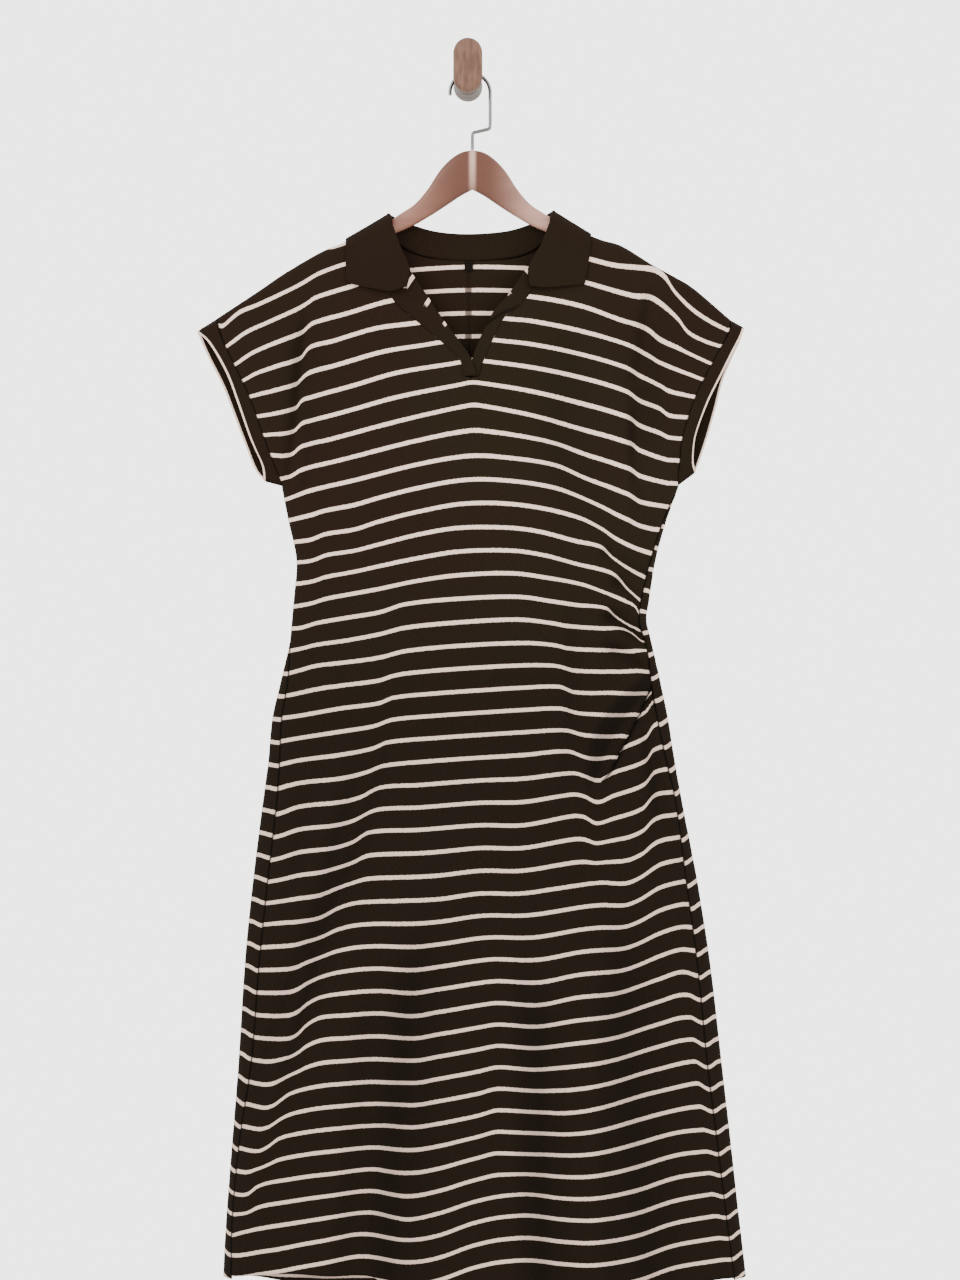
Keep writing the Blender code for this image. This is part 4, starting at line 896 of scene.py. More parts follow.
def column_shares(side, face):
    """Where the columns lie, from the side seam to the centre."""
    if face == "back":
        return spans(BACK_SPANS)
    if side == "right":
        return spans(RIGHT_FRONT_SPANS)
    return np.linspace(0.0, 1.0, LEFT_FRONT_COLUMNS) ** LEFT_FRONT_CROWDING


def row_heights():
    return np.linspace(HEM_HEIGHT, UNDERARM_HEIGHT, int((UNDERARM_HEIGHT - HEM_HEIGHT) / ROW_HEIGHT))


def upper_shares():
    return np.concatenate((np.linspace(0.0, SLIT_SHARES[0], LOW_SLIT_ROWS)[1:], spans(UPPER_SPANS)))


def lower_rows(side, face, shares):
    """The inside points of one half of a panel, row by row from the hem to the underarm."""
    rows = []
    for height in row_heights():
        x, y = at_share(level_line(height, side, face), shares).T
        z = height - hem_drop(x, face, height)
        flat = np.minimum(1.0, np.abs(y - HANGER_PLANE) / FLAT_DEPTH)
        moved = relief(face, x, z)
        if face == "back":
            moved = np.where(y > HANGER_PLANE, moved, -fold_offset("front", x, z))
        rows.append(np.stack((x, y + OUTWARD[face] * flat * moved, z), axis=1))
    return rows


def half_panel(side, face):
    """The inside points of one half of a panel, row by row from the hem to the shoulder."""
    shares = column_shares(side, face)
    rows = lower_rows(side, face, shares)
    low = rows[-1][:, [0, 2]]
    high = top_edge(side, face, shares)
    high_corners = top_edge(side, face, (0.0, 1.0))
    across = shares[:, None]
    for up in upper_shares():
        outer = at_share(ARMHOLE_LINES[side], up)
        flare = armhole_depth(side, face, up) - abs(body_y(outer[0], outer[1], face)[0] - HANGER_PLANE)
        inner = inner_edge(side, face, up, low[-1, 0])
        sides = (1 - across) * outer + across * inner + (1 - up) * low + up * high
        corners = (1 - across) * ((1 - up) * low[0] + up * high_corners[0])
        corners = corners + across * ((1 - up) * low[-1] + up * high_corners[1])
        x, z = (sides - corners).T
        away = np.hypot(x - outer[0], z - outer[1])
        y = body_y(x, z, face) + OUTWARD[face] * flare * smooth_step(1.0 - away / ARMHOLE_FLARE)
        rows.append(np.stack((x, y, z), axis=1))
    return np.array(rows)


def running_number(numbers, heights, z):
    """The running number at each place, from the heights of the numbered stripes there."""
    numbers = np.array(numbers, dtype=float)
    index = np.clip((heights > z).sum(axis=0) - 1, 0, len(numbers) - 2)
    places = np.arange(len(z))
    upper = heights[index, places]
    gap = np.maximum(upper - heights[index + 1, places], LEAST_STRIPE_GAP)
    return numbers[index] + (upper - z) / gap * (numbers[index + 1] - numbers[index])


def stripe_number(table, x, z):
    """Which stripe each place is on, as a running number that is whole on a stripe's middle."""
    numbers = [row[0] for row in table]
    heights = np.array([read(row[1], STRIPE_LINE_COLUMNS, "z", x) for row in table])
    made = running_number(numbers, heights, z)
    top_pitch = read(TOP_PITCHES, TOP_PITCH_COLUMNS, "pitch", x)
    made = np.where(z > heights[0], numbers[0] - (z - heights[0]) / top_pitch, made)
    return np.where(z < heights[-1], numbers[-1] + (heights[-1] - z) / STRIPE_PITCH, made)


def back_stripe_number(x, z):
    """The back's stripes hang straighter, and meet the front's at the side seams."""
    across = np.clip((x - BACK_SPREAD[0]) / (BACK_SPREAD[1] - BACK_SPREAD[0]), 0.0, 1.0)
    left = smooth_step(1.0 - 2.0 * across)
    right = smooth_step(2.0 * across - 1.0)
    weights = {"left": left, "right": right, "middle": 1.0 - left - right}
    values = [dict(zip(BACK_STRIPE_COLUMNS, row)) for row in BACK_STRIPES]
    heights = np.array([sum(row[name] * weight for name, weight in weights.items()) for row in values])
    return running_number([row["number"] for row in values], heights, z)


def along_rows(grid):
    """Length along each row of a grid from its first point."""
    steps = np.linalg.norm(np.diff(grid, axis=1), axis=2)
    return np.concatenate((np.zeros((len(grid), 1)), np.cumsum(steps, axis=1)), axis=1)


def crease_shade(grid, face):
    """Painted shade of the folds, as if lit from the upper left: troughs, and slopes that turn down or to
    the right, are darker.
    """
    x = grid[..., 0]
    z = grid[..., 2]
    raised = relief(face, x.ravel(), z.ravel()).reshape(x.shape)
    step_x = np.gradient(x, axis=1)
    step_x = np.where(np.abs(step_x) < LEAST_STEP, LEAST_STEP, step_x)
    to_right = np.gradient(raised, axis=1) / step_x
    upward = np.gradient(raised, axis=0) / np.gradient(z, axis=0)
    turned = np.clip(DOWN_SHADE * upward - RIGHT_SHADE * to_right, 0.0, 1.0)
    trough = np.clip(-raised / TROUGH_DEPTH, 0.0, 1.0)
    return np.clip(turned + TROUGH_SHADE * trough, 0.0, 1.0)


def front_numbers(x, z, across):
    """The front's stripe numbers over the pleat and under it, and each place's distance from it."""
    main = stripe_number(STRIPES, x, z)
    apart = main - back_stripe_number(x, z)
    meets = smooth_step(1.0 - across / MEETING["width"])
    meets = meets * smooth_step((MEETING["height"] - z) / MEETING["over"])
    main -= (apart - np.round(apart)) * meets * (x > 0.0)
    under = main.copy()
    pleat = np.full(len(x), FAR_FROM_PLEAT)
    near = in_box(x, z, UNDER_BOX)
    if near.any():
        pleat[near] = pleat_distance(x[near], z[near])[0]
        under[near] = stripe_number(UNDER_ROWS, x[near], z[near])
    return main, under, pleat


def back_numbers(x, z, across):
    """The back's stripe numbers, which rise a little where it comes round the side fold."""
    side = "left" if x[0] < 0.0 else "right"
    rise = read(WRAP_RISES, WRAP_RISE_COLUMNS, side, z) * smooth_step(across / WRAP_WIDTH)
    rise *= 1.0 - smooth_step((across - WRAP_END[0]) / WRAP_END[1])
    main = back_stripe_number(x, z - rise)
    return main, main, np.full(len(x), FAR_FROM_PLEAT)


def panel_maps(grid, face):
    """The maps that the knit's material reads: stripes, seam and pleat distances, stitches, and the folds'
    painted shade.
    """
    x = grid[..., 0].ravel()
    z = grid[..., 2].ravel()
    across = along_rows(grid).ravel()
    number = front_numbers if face == "front" else back_numbers
    main, under, pleat = number(x, z, across)
    shade = crease_shade(grid, face).ravel()
    maps = {
        "stripes": (main, under),
        "places": (across, pleat),
        "stitches": (across, main * STRIPE_PITCH),
        "creases": (shade, shade),
    }
    return {name: np.stack(made, axis=1).reshape(*grid.shape[:2], 2) for name, made in maps.items()}


def placed(name, data):
    """A new object on its data, in the scene."""
    made = bpy.data.objects.new(name, data)
    bpy.context.scene.collection.objects.link(made)
    return made


def grid_object(name, grids, maps, toward, materials, thickness=0.0, closed=False, tested=0):
    """A mesh on grids of points, with its maps, and a wall raised outward."""
    points = []
    faces = []
    values = {key: [] for key in maps[0]}
    for grid, sheet_maps in zip(grids, maps):
        start = sum(len(part) for part in points)
        rows, columns = grid.shape[:2]
        points.append(grid.reshape(-1, 3) * MM)
        index = start + np.arange(rows * columns).reshape(rows, columns)
        if closed:
            index = np.concatenate((index, index[:1]))
        quads = np.stack((index[:-1, :-1], index[:-1, 1:], index[1:, 1:], index[1:, :-1]), axis=-1)
        faces.append(quads.reshape(-1, 4))
        for key in values:
            values[key].append(sheet_maps[key].reshape(-1, 2))
    points = np.concatenate(points)
    faces = np.concatenate(faces)
    mesh = bpy.data.meshes.new(name)
    mesh.from_pydata(points.tolist(), [], faces.tolist())
    corners = np.zeros(len(mesh.loops), dtype=np.int64)
    mesh.loops.foreach_get("vertex_index", corners)
    for key, made in values.items():
        layer = mesh.uv_layers.new(name=key)
        layer.data.foreach_set("uv", np.concatenate(made)[corners].ravel())
    shape = bmesh.new()
    shape.from_mesh(mesh)
    bmesh.ops.remove_doubles(shape, verts=shape.verts, dist=WELD * MM)
    bmesh.ops.recalc_face_normals(shape, faces=shape.faces)
    shape.faces.ensure_lookup_table()
    shape.normal_update()
    if shape.faces[tested].normal.dot(Vector(toward)) < 0.0:
        bmesh.ops.reverse_faces(shape, faces=shape.faces)
    shape.to_mesh(mesh)
    shape.free()
    made = placed(name, mesh)
    for material in materials:
        mesh.materials.append(material)
    mesh.shade_smooth()
    if thickness:
        wall = made.modifiers.new("wall", "SOLIDIFY")
        wall.thickness = thickness * MM
        wall.offset = 1.0
        wall.material_offset = len(materials) - 1
        wall.material_offset_rim = 0
    return made


def flat_maps(grid, edge_distance=None, stripes=None):
    """Maps for a ribbed piece, whose rows run along it and whose columns cross it."""
    rows, columns = grid.shape[:2]
    across = along_rows(grid)
    along = along_rows(grid.transpose(1, 0, 2)).T
    middle = np.repeat(along[:, columns // 2 : columns // 2 + 1], columns, axis=1)
    free = across[:, -1:] - across if edge_distance is None else edge_distance
    marks = np.zeros((rows, columns)) if stripes is None else stripes
    return {
        "stripes": np.stack((marks, np.zeros((rows, columns))), axis=-1),
        "places": np.stack((free, middle), axis=-1),
        "stitches": np.stack((middle, across), axis=-1),
    }


def make_front(materials):
    grids = [half_panel("left", "front"), half_panel("right", "front")]
    maps = [panel_maps(grid, "front") for grid in grids]
    return grid_object("front_panel_cloth", grids, maps, (0, -1, 0), materials, WALL)


def make_back(side, materials):
    grid = half_panel(side, "back")
    toward = (-1 if side == "left" else 1, 0.2, 0)
    return grid_object(
        f"back_{side}_cloth", [grid], [panel_maps(grid, "back")], toward, materials, WALL
    )


def make_band(side, material):
    """The ring sewn round an armhole: up the front layer and down the back one."""
    rows = ARMHOLES[side][::-1]
    edges = {
        "front": curve(column_points(rows, ARMHOLE_COLUMNS, "edge_x", "edge_z")),
        "back": curve(column_points(rows, ARMHOLE_COLUMNS, "back_edge_x", "back_edge_z")),
    }
    shares = np.linspace(0.0, 1.0, BAND_ROWS)
    loop = [("front", share) for share in shares] + [("back", share) for share in shares[-2:0:-1]]
    across = np.linspace(0.0, 1.0, BAND_COLUMNS)
    grid = []
    for face, share in loop:
        inner = at_share(ARMHOLE_LINES[side], share)
        outer = at_share(edges[face], share)
        away = (outer - inner) / np.linalg.norm(outer - inner)
        seam_depth = 0.0 if share in (0.0, 1.0) else armhole_depth(side, face, share)
        low = smooth_step(1.0 - share / BAND_LOW)
        inner = inner + away * (BAND_GAP - BAND_TUCK * low) + (0.0, UNDERARM_LIFT * low)
        from_end = min(share, 1.0 - share)
        edge_depth = BAND_OPENING * smooth_step(from_end / BAND_EDGE_OPENS)
        places = inner + (outer - inner) * across[:, None]
        depth = seam_depth + (edge_depth - seam_depth) * across
        depth = depth + BAND_BULGE * np.sin(math.pi * across) * smooth_step(from_end / BAND_LOW)
        grid.append(np.stack((places[:, 0], HANGER_PLANE + OUTWARD[face] * depth, places[:, 1]), axis=1))
    grid = np.array(grid)
    toward = (-0.2 if side == "left" else 0.2, -1, 0)
    return grid_object(
        f"armhole_band_{side}_rib", [grid], [flat_maps(grid)], toward, [material], RIB_WALL, closed=True
    )


def make_placket(side, material):
    """The band along one side of the neck slit, from the squared end up under the collar."""
    rows = SLITS[side]
    points = column_points(rows, SLIT_COLUMNS, "open_x", "open_z")
    if side == "left":
        points[0] = PLACKET_FOOT
    opening = curve(points)
    shares = np.linspace(SLIT_SHARES[1], 1.0, PLACKET_ROWS)
    outer = np.array([inner_edge(side, "front", share, 0.0) for share in shares])
    outer = outer[outer[:, 1] < rows[-1][1] + PLACKET_TOP]
    lengths = lengths_along(outer)
    across = np.linspace(0.0, 1.0, PLACKET_COLUMNS)
    grid = []
    for edge, length in zip(outer, lengths):
        inner = at_share(opening, length / lengths[-1])
        away = (inner - edge) / np.linalg.norm(inner - edge)
        start = edge + away * BAND_GAP
        places = start + (inner - start) * across[:, None]
        roll = PLACKET_ROLL * across**2 * smooth_step(length / PLACKET_ROLL_FULL)
        y = body_y(places[:, 0], places[:, 1], "front") + roll
        if side == "left":
            y -= PLACKET_OVERLAP * across * smooth_step(1.0 - length / PLACKET_OVERLAP_END)
        else:
            line = TWIST_PLACE + TWIST_LEAN * np.linalg.norm(inner - edge) * (1.0 - across)
            y -= PLACKET_TWIST * np.sqrt(across) * smooth_step((length - line) / PLACKET_TWIST_WIDTH)
        grid.append(np.stack((places[:, 0], y, places[:, 1]), axis=1))
    grid = np.array(grid)
    along = np.repeat(lengths[:, None], PLACKET_COLUMNS, axis=1)
    free = along_rows(grid)[:, -1:] - along_rows(grid)
    reach = read(FACINGS[side], FACING_COLUMNS, "width", along)
    marks = (along - PLACKET_MARKS[side] + PLACKET_MARK_LEAN * free) / PLACKET_MARK_PITCH
    maps = flat_maps(grid, free, marks)
    maps["places"][..., 1] = smooth_step((reach - free) / FACING_BLUR)
    if side == "right":
        # Painted shadow where the upper part ends over the lower part, kept in the stripes map's second
        # channel
        beyond = along - TWIST_PLACE + 1.0 - TWIST_LEAN * free
        maps["stripes"][..., 1] = np.exp(-((beyond / TWIST_SHADOW) ** 2))
    return grid_object(f"placket_{side}_rib", [grid], [maps], (0, -1, 0), [material], RIB_WALL)


def laid_over(places):
    """Points of the collar's fall, moved out to clear the cloth under them."""
    made = np.array(places, dtype=float).reshape(-1, 3)
    x, y, z = made.T
    lift = WALL + COLLAR_LIFT
    under = z < shoulder_height(x) + lift * SLOPE
    front = y <= HANGER_PLANE
    covers = {face: body_y(x, z, face, lift) for face in ("front", "back")}
    made[:, 1] = np.where(
        under, np.where(front, np.minimum(y, covers["front"]), np.maximum(y, covers["back"])), y
    )
    return made.reshape(np.shape(places))


def collar_station(row, end_bulge):
    """One station of the collar: up the stand, over the fold and down to the free edge."""
    value = dict(zip(COLLAR_COLUMNS, row))
    face = value["face"]
    sign = OUTWARD.get(face, 0.0)
    seam, fold = (
        np.array([value[f"{name}_{axis}"] for axis in "xyz"], dtype=float) for name in ("seam", "fold")
    )
    edge = np.array((value["edge_x"], HANGER_PLANE + EDGE_SIDE * sign, value["edge_z"]), dtype=float)
    if face == "ridge":
        edge[2] = max(edge[2], float(shoulder_height(edge[0])) + (WALL + COLLAR_LIFT) * SLOPE)
    else:
        edge = laid_over(edge)
    angle = math.radians(value["across"])
    across = np.array((math.cos(angle), math.sin(angle), 0.0))
    down = np.array((0.0, 0.0, COLLAR_FOLD_RADIUS))
    near = fold - across * COLLAR_FOLD_RADIUS - down
    far = fold + across * COLLAR_FOLD_RADIUS - down
    middle = 0.5 * (seam + near)
    if face == "front":
        middle[0] = seam[0]
        middle[1] = near[1]
    made = [seam, middle, near, fold, far]
    for share in COLLAR_FALL_SHARES:
        place = far + (edge - far) * share
        place[2] -= end_bulge * math.sin(math.pi * share**COLLAR_BULGE_PLACE)
        made.append(place)
    return np.array(made)


def make_collar(material):
    halves = {}
    for side, rows in COLLARS.items():
        bulges = [0.0] * (len(rows) - 1) + [COLLAR_END_BULGES[side]]
        halves[side] = [collar_station(row, bulge) for row, bulge in zip(rows, bulges)]
    stations = halves["right"][::-1] + halves["left"][1:]
    across_steps, along_steps = COLLAR_STEPS
    columns = np.array([curve(station, across_steps) for station in stations]).transpose(1, 0, 2)
    grid = np.array([curve(line, along_steps) for line in columns]).transpose(1, 0, 2)
    fold_column = COLLAR_FOLD_PLACE * across_steps
    grid[:, fold_column:] = laid_over(grid[:, fold_column:])
    tested = grid.shape[1] - 3
    return grid_object(
        "collar_rib", [grid], [flat_maps(grid)], (0, -1, 0), [material], RIB_WALL, tested=tested
    )


def loft_object(name, rings, material):
    """A solid through closed rings of points, capped at both ends."""
    mesh = bpy.data.meshes.new(name)
    shape = bmesh.new()
    made = [[shape.verts.new(Vector(p) * MM) for p in ring] for ring in rings]
    count = len(made[0])
    for low, high in zip(made, made[1:]):
        for k in range(count):
            shape.faces.new((low[k], low[(k + 1) % count], high[(k + 1) % count], high[k]))
    shape.faces.new(made[0][::-1])
    shape.faces.new(made[-1])
    bmesh.ops.recalc_face_normals(shape, faces=shape.faces)
    shape.to_mesh(mesh)
    shape.free()
    made = placed(name, mesh)
    mesh.materials.append(material)
    mesh.shade_smooth()
    mesh.set_sharp_from_angle(angle=math.radians(SHARP_ANGLE))
    return made


def turn(count):
    """The cosine and sine of evenly spaced angles once round."""
    angles = [2 * math.pi * (k + 0.5) / count for k in range(count)]
    return [(math.cos(angle), math.sin(angle)) for angle in angles]


def rounded_ring(half_width, half_height, squareness, count):
    """A superellipse, as pairs of offsets."""
    power = 2 / squareness
    return [
        (half_width * math.copysign(abs(c) ** power, c), half_height * math.copysign(abs(s) ** power, s))
        for c, s in turn(count)
    ]


def pill_ring(half_width, half_height, count):
    """A tall shape with round ends and straight sides, or an ellipse where it is wider than tall."""
    straight = max(0.0, half_height - half_width)
    radius = min(half_width, half_height)
    return [(half_width * c, radius * s + math.copysign(straight, s)) for c, s in turn(count)]


def hanger_edges(x):
    """Upper and lower edge of the hanger at a place across."""
    distance = abs(x - HANGER_MIDDLE)
    last, last_top, last_bottom = HANGER[-1]
    if distance >= HANGER_JOIN:
        top = float(shoulder_height(x)) - HANGER_SEAT
        deeper = smooth_step((distance - HANGER_END["from"]) / HANGER_END["over"])
        return top, top - HANGER_ARM_HEIGHT - HANGER_END["deeper"] * float(deeper)
    if distance <= last:
        return tuple(float(read(HANGER, HANGER_COLUMNS, name, distance)) for name in ("top", "bottom"))
    side = 1.0 if x > HANGER_MIDDLE else -1.0
    far = float(shoulder_height(HANGER_MIDDLE + side * HANGER_JOIN)) - HANGER_SEAT
    share = (distance - last) / (HANGER_JOIN - last)
    bottom = last_bottom + (far - HANGER_ARM_HEIGHT - last_bottom) * share
    return last_top + (far - last_top) * share, bottom


def make_hanger(material):
    thins_from, thins_over = HANGER_THINS
    squareness, less_square = HANGER_SQUARENESS
    rings = []
    for offset in np.linspace(-HANGER_HALF_SPAN, HANGER_HALF_SPAN, HANGER_RINGS):
        x = HANGER_MIDDLE + offset
        top, bottom = hanger_edges(x)
        end = HANGER_HALF_SPAN - abs(offset)
        round_off = math.sqrt(min(1.0, (end + 1.0) / HANGER_ROUNDING))
        half_height = 0.5 * (top - bottom)
        inside = float(smooth_step((abs(offset) - thins_from) / thins_over))
        thickness = HANGER_THICKNESS + (HANGER_ARM_THICKNESS - HANGER_THICKNESS) * inside
        halves = (0.5 * thickness * round_off, half_height * round_off)
        outline = rounded_ring(*halves, squareness - less_square * inside, HANGER_SIDES)
        rings.append([(x, HANGER_PLANE + across, top - half_height + up) for across, up in outline])
    return loft_object("hanger_wood_body", rings, material)


def make_hook(material):
    """The wire, from its free end over the peg and down to the top of the hanger."""
    angles = np.radians(np.arange(HOOK_START, -1.0, -HOOK_STEP))
    bow = np.array(HOOK_CENTRE) + HOOK_RADIUS * np.stack((np.cos(angles), np.sin(angles)), axis=1)
    points = np.concatenate((bow, curve(HOOK_STEM, HOOK_STEM_STEPS)))
    wire = bpy.data.curves.new("hook_wire_curve", "CURVE")
    wire.dimensions = "3D"
    spline = wire.splines.new("POLY")
    spline.points.add(len(points) - 1)
    for point, (x, z) in zip(spline.points, points):
        point.co = (x * MM, HANGER_PLANE * MM, z * MM, 1.0)
    wire.bevel_depth = WIRE_RADIUS * MM
    wire.bevel_resolution = 6
    wire.use_fill_caps = True
    shaped = placed("hook_wire_curve", wire)
    bpy.context.view_layer.update()
    mesh = bpy.data.meshes.new_from_object(shaped.evaluated_get(bpy.context.evaluated_depsgraph_get()))
    bpy.data.objects.remove(shaped, do_unlink=True)
    mesh.materials.clear()
    mesh.materials.append(material)
    mesh.shade_smooth()
    return placed("hanger_hook_wire", mesh)


def make_peg(material):
    rings = []
    for y in np.linspace(PEG[0][0], PEG[-1][0], PEG_RINGS):
        middle, *halves = (float(read(PEG, PEG_COLUMNS, name, y)) for name in PEG_COLUMNS[1:])
        rings.append([(x, y, middle + z) for x, z in pill_ring(*halves, PEG_SIDES)])
    front = rings[-1]
    middle = sum(z for _, _, z in front) / len(front)
    for share, y in PEG_RIM:
        rings.append([(x * share, y, middle + (z - middle) * share) for x, _, z in front])
    return loft_object("wall_peg_wood", rings, material)


def make_label(material):
    """The small bare tab below the collar seam, inside the back."""
    width, thick, height = LABEL_SIZE
    rows = np.linspace(0.0, 1.0, LABEL_ROWS)[:, None]
    columns = np.linspace(-0.5, 0.5, LABEL_COLUMNS)[None, :]
    z = LABEL_TOP - height * rows - LABEL_BOW * np.cos(2 * math.pi * columns)
    x = BACK_NECK[len(BACK_NECK) // 2][0] + width * columns + 0.0 * rows
    inside = body_y(x.ravel(), z.ravel(), "back").reshape(z.shape)
    grid = np.stack((x, inside - LABEL_GAP - LABEL_CURL * rows**2, z), axis=-1)
    return grid_object("neck_label_tab", [grid], [flat_maps(grid)], (0, -1, 0), [material], thick)


class Shade:
    """A material's nodes, added one by one."""

    def __init__(self, name):
        self.material = bpy.data.materials.new(name)
        self.material.use_nodes = True
        self.tree = self.material.node_tree
        self.surface = self.tree.nodes["Principled BSDF"]

    def add(self, kind, **settings):
        node = self.tree.nodes.new(kind)
        for key, value in settings.items():
            setattr(node, key, value)
        return node

    def put(self, socket, value):
        """Sets a socket to a number or a colour, or links another node to it."""
        if isinstance(value, bpy.types.NodeSocket):
            self.tree.links.new(value, socket)
        else:
            socket.default_value = value

    def math(self, operation, *values):
        node = self.add("ShaderNodeMath", operation=operation)
        for socket, value in zip(node.inputs, values):
            self.put(socket, value)
        return node.outputs["Value"]

    def times(self, first, second):
        return self.math("MULTIPLY", first, second)

    def times_plus(self, first, second, third):
        return self.math("MULTIPLY_ADD", first, second, third)

    def distance(self, first, second):
        return self.math("ABSOLUTE", self.math("SUBTRACT", first, second))

    def step(self, value, low, high):
        """Nought at low and one at high, smooth between them."""
        node = self.add("ShaderNodeMapRange", interpolation_type="SMOOTHSTEP")
        self.put(node.inputs["Value"], value)
        self.put(node.inputs["From Min"], low)
        self.put(node.inputs["From Max"], high)
        return node.outputs["Result"]

    def mix(self, share, first, second):
        node = self.add("ShaderNodeMix", data_type="RGBA")
        self.put(node.inputs[0], share)
        self.put(node.inputs[6], (*first, 1.0) if isinstance(first, tuple) else first)
        self.put(node.inputs[7], (*second, 1.0) if isinstance(second, tuple) else second)
        return node.outputs[2]

    def parts(self, vector):
        node = self.add("ShaderNodeSeparateXYZ")
        self.put(node.inputs["Vector"], vector)
        return node.outputs

    def uv(self, name):
        return self.add("ShaderNodeUVMap", uv_map=name).outputs["UV"]

    def place(self):
        return self.add("ShaderNodeTexCoord").outputs["Object"]

    def between(self, value, ends):
        """The same as step, for places in millimetres."""
        return self.step(value, ends[0] * MM, ends[1] * MM)

    def scaled(self, vector, factors):
        node = self.add("ShaderNodeVectorMath", operation="MULTIPLY")
        self.put(node.inputs[0], vector)
        self.put(node.inputs[1], factors)
        return node.outputs["Vector"]

    def noise(self, vector, scale, detail=2.0):
        node = self.add("ShaderNodeTexNoise")
        self.put(node.inputs["Vector"], vector)
        self.put(node.inputs["Scale"], scale)
        self.put(node.inputs["Detail"], detail)
        return node.outputs["Fac"]

    def bump(self, height, strength, distance):
        node = self.add("ShaderNodeBump")
        self.put(node.inputs["Height"], height)
        self.put(node.inputs["Strength"], strength)
        self.put(node.inputs["Distance"], distance)
        self.put(self.surface.inputs["Normal"], node.outputs["Normal"])

    def finish(self, colour, roughness, **sockets):
        """Sets the surface. An underscore in a name stands for a space."""
        self.put(self.surface.inputs["Base Color"], colour)
        self.put(self.surface.inputs["Roughness"], roughness)
        for name, value in sockets.items():
            self.put(self.surface.inputs[name.replace("_", " ")], value)
        return self.material


def cloth_tint(shade):
    """The dark brown yarn, greener in some places and redder in others, with painted shade that darkens it
    low down.
    """
    place = shade.place()
    patches = shade.step(shade.noise(place, PATCH_SCALE, 3.0), 0.35, 0.65)
    tint = shade.mix(patches, CLOTH_GREENISH, CLOTH_REDDISH)
    # Painted shade: the cloth darkens low down
    low = shade.between(shade.parts(place)["Z"], LOW_SHADE_HEIGHTS)
    tint = shade.mix(low, tint, CLOTH_LOW_SHADE)
    return shade.mix(shade.times(shade.noise(place, FLECK_SCALE), 0.5), tint, CLOTH_FLECK)


def pale_yarn(shade, stitches):
    """A noise that makes the yarn uneven, and the pale yarn's colour."""
    uneven = shade.step(shade.noise(stitches, UNEVEN_SCALE), 0.25, 0.8)
    return uneven, shade.mix(uneven, STRIPE_LIGHT, STRIPE_SHADED)


def shadowed(shade, share, strength, colour):
    return shade.mix(shade.times(share, strength), colour, CLOTH_SHADOW)


def finish_yarn(shade, stitches, colour, uneven, height):
    """Fuzz on the stitches, and the dull surface of knit."""
    fuzzy = shade.times_plus(shade.noise(stitches, FUZZ_SCALE, 3.0), 0.5, height)
    shade.bump(fuzzy, **YARN_BUMP)
    roughness = shade.times_plus(uneven, 0.08, 0.86)
    return shade.finish(colour, roughness, Specular_IOR_Level=YARN_SPECULAR)


def stitch_height(shade, stitches):
    """Columns of small V shaped stitches."""
    sizes = shade.parts(stitches)
    column = shade.math("PINGPONG", sizes["X"], 0.5 * STITCH_WIDTH)
    slanted = shade.times_plus(column, 1.3, sizes["Y"])
    row = shade.math("SINE", shade.times(slanted, 2 * math.pi / STITCH_HEIGHT))
    return shade.times_plus(row, 0.22, shade.times(column, 0.9 / STITCH_WIDTH))


def knit_material(name, inside=False):
    """Dark knit with narrow pale stripes that step at the pleat."""
    shade = Shade(name)
    stripes = shade.parts(shade.uv("stripes"))
    places = shade.parts(shade.uv("places"))
    stitches = shade.uv("stitches")
    beyond = shade.math("GREATER_THAN", places["Y"], 0.0)
    number = shade.times_plus(shade.math("SUBTRACT", stripes["Y"], stripes["X"]), beyond, stripes["X"])
    away = shade.times(shade.distance(number, shade.math("ROUND", number)), STRIPE_PITCH)
    wobble = shade.math("SUBTRACT", shade.noise(stitches, 0.4), 0.5)
    away = shade.times_plus(wobble, STRIPE_WOBBLE, away)
    striped = shade.step(away, 0.5 * STRIPE_WIDTH + STRIPE_BLUR, 0.5 * STRIPE_WIDTH - STRIPE_BLUR)
    uneven, light = pale_yarn(shade, stitches)
    place = shade.parts(shade.place())
    # Painted shade: the pale stripes darken low down too
    low = shade.between(place["Z"], LOW_SHADE_HEIGHTS)
    light = shade.mix(shade.times(low, LOW_SHADE_STRENGTH), light, CLOTH_LOW_SHADE)
    if inside:
        strip = shade.between(shade.distance(place["X"], CENTRE_SEAM * MM), CENTRE_EDGES)
        striped = shade.times(striped, shade.times_plus(strip, -CENTRE_DULLING, 1.0))
    colour = shade.mix(striped, cloth_tint(shade), light)
    # Painted shadow along the side seams and beside the pleat's edge
    seam = shade.step(places["X"], *SEAM_EDGES)
    fold = shade.times(beyond, shade.step(places["Y"], *PLEAT_EDGES))
    colour = shadowed(shade, shade.math("MAXIMUM", seam, fold), SEAM_SHADOW, colour)
    # Painted shade of the folds, read from the panel's shade map
    colour = shadowed(shade, shade.parts(shade.uv("creases"))["X"], CREASE_SHADOW, colour)
    height = shade.times_plus(striped, 0.3, stitch_height(shade, stitches))
    return finish_yarn(shade, stitches, colour, uneven, height)


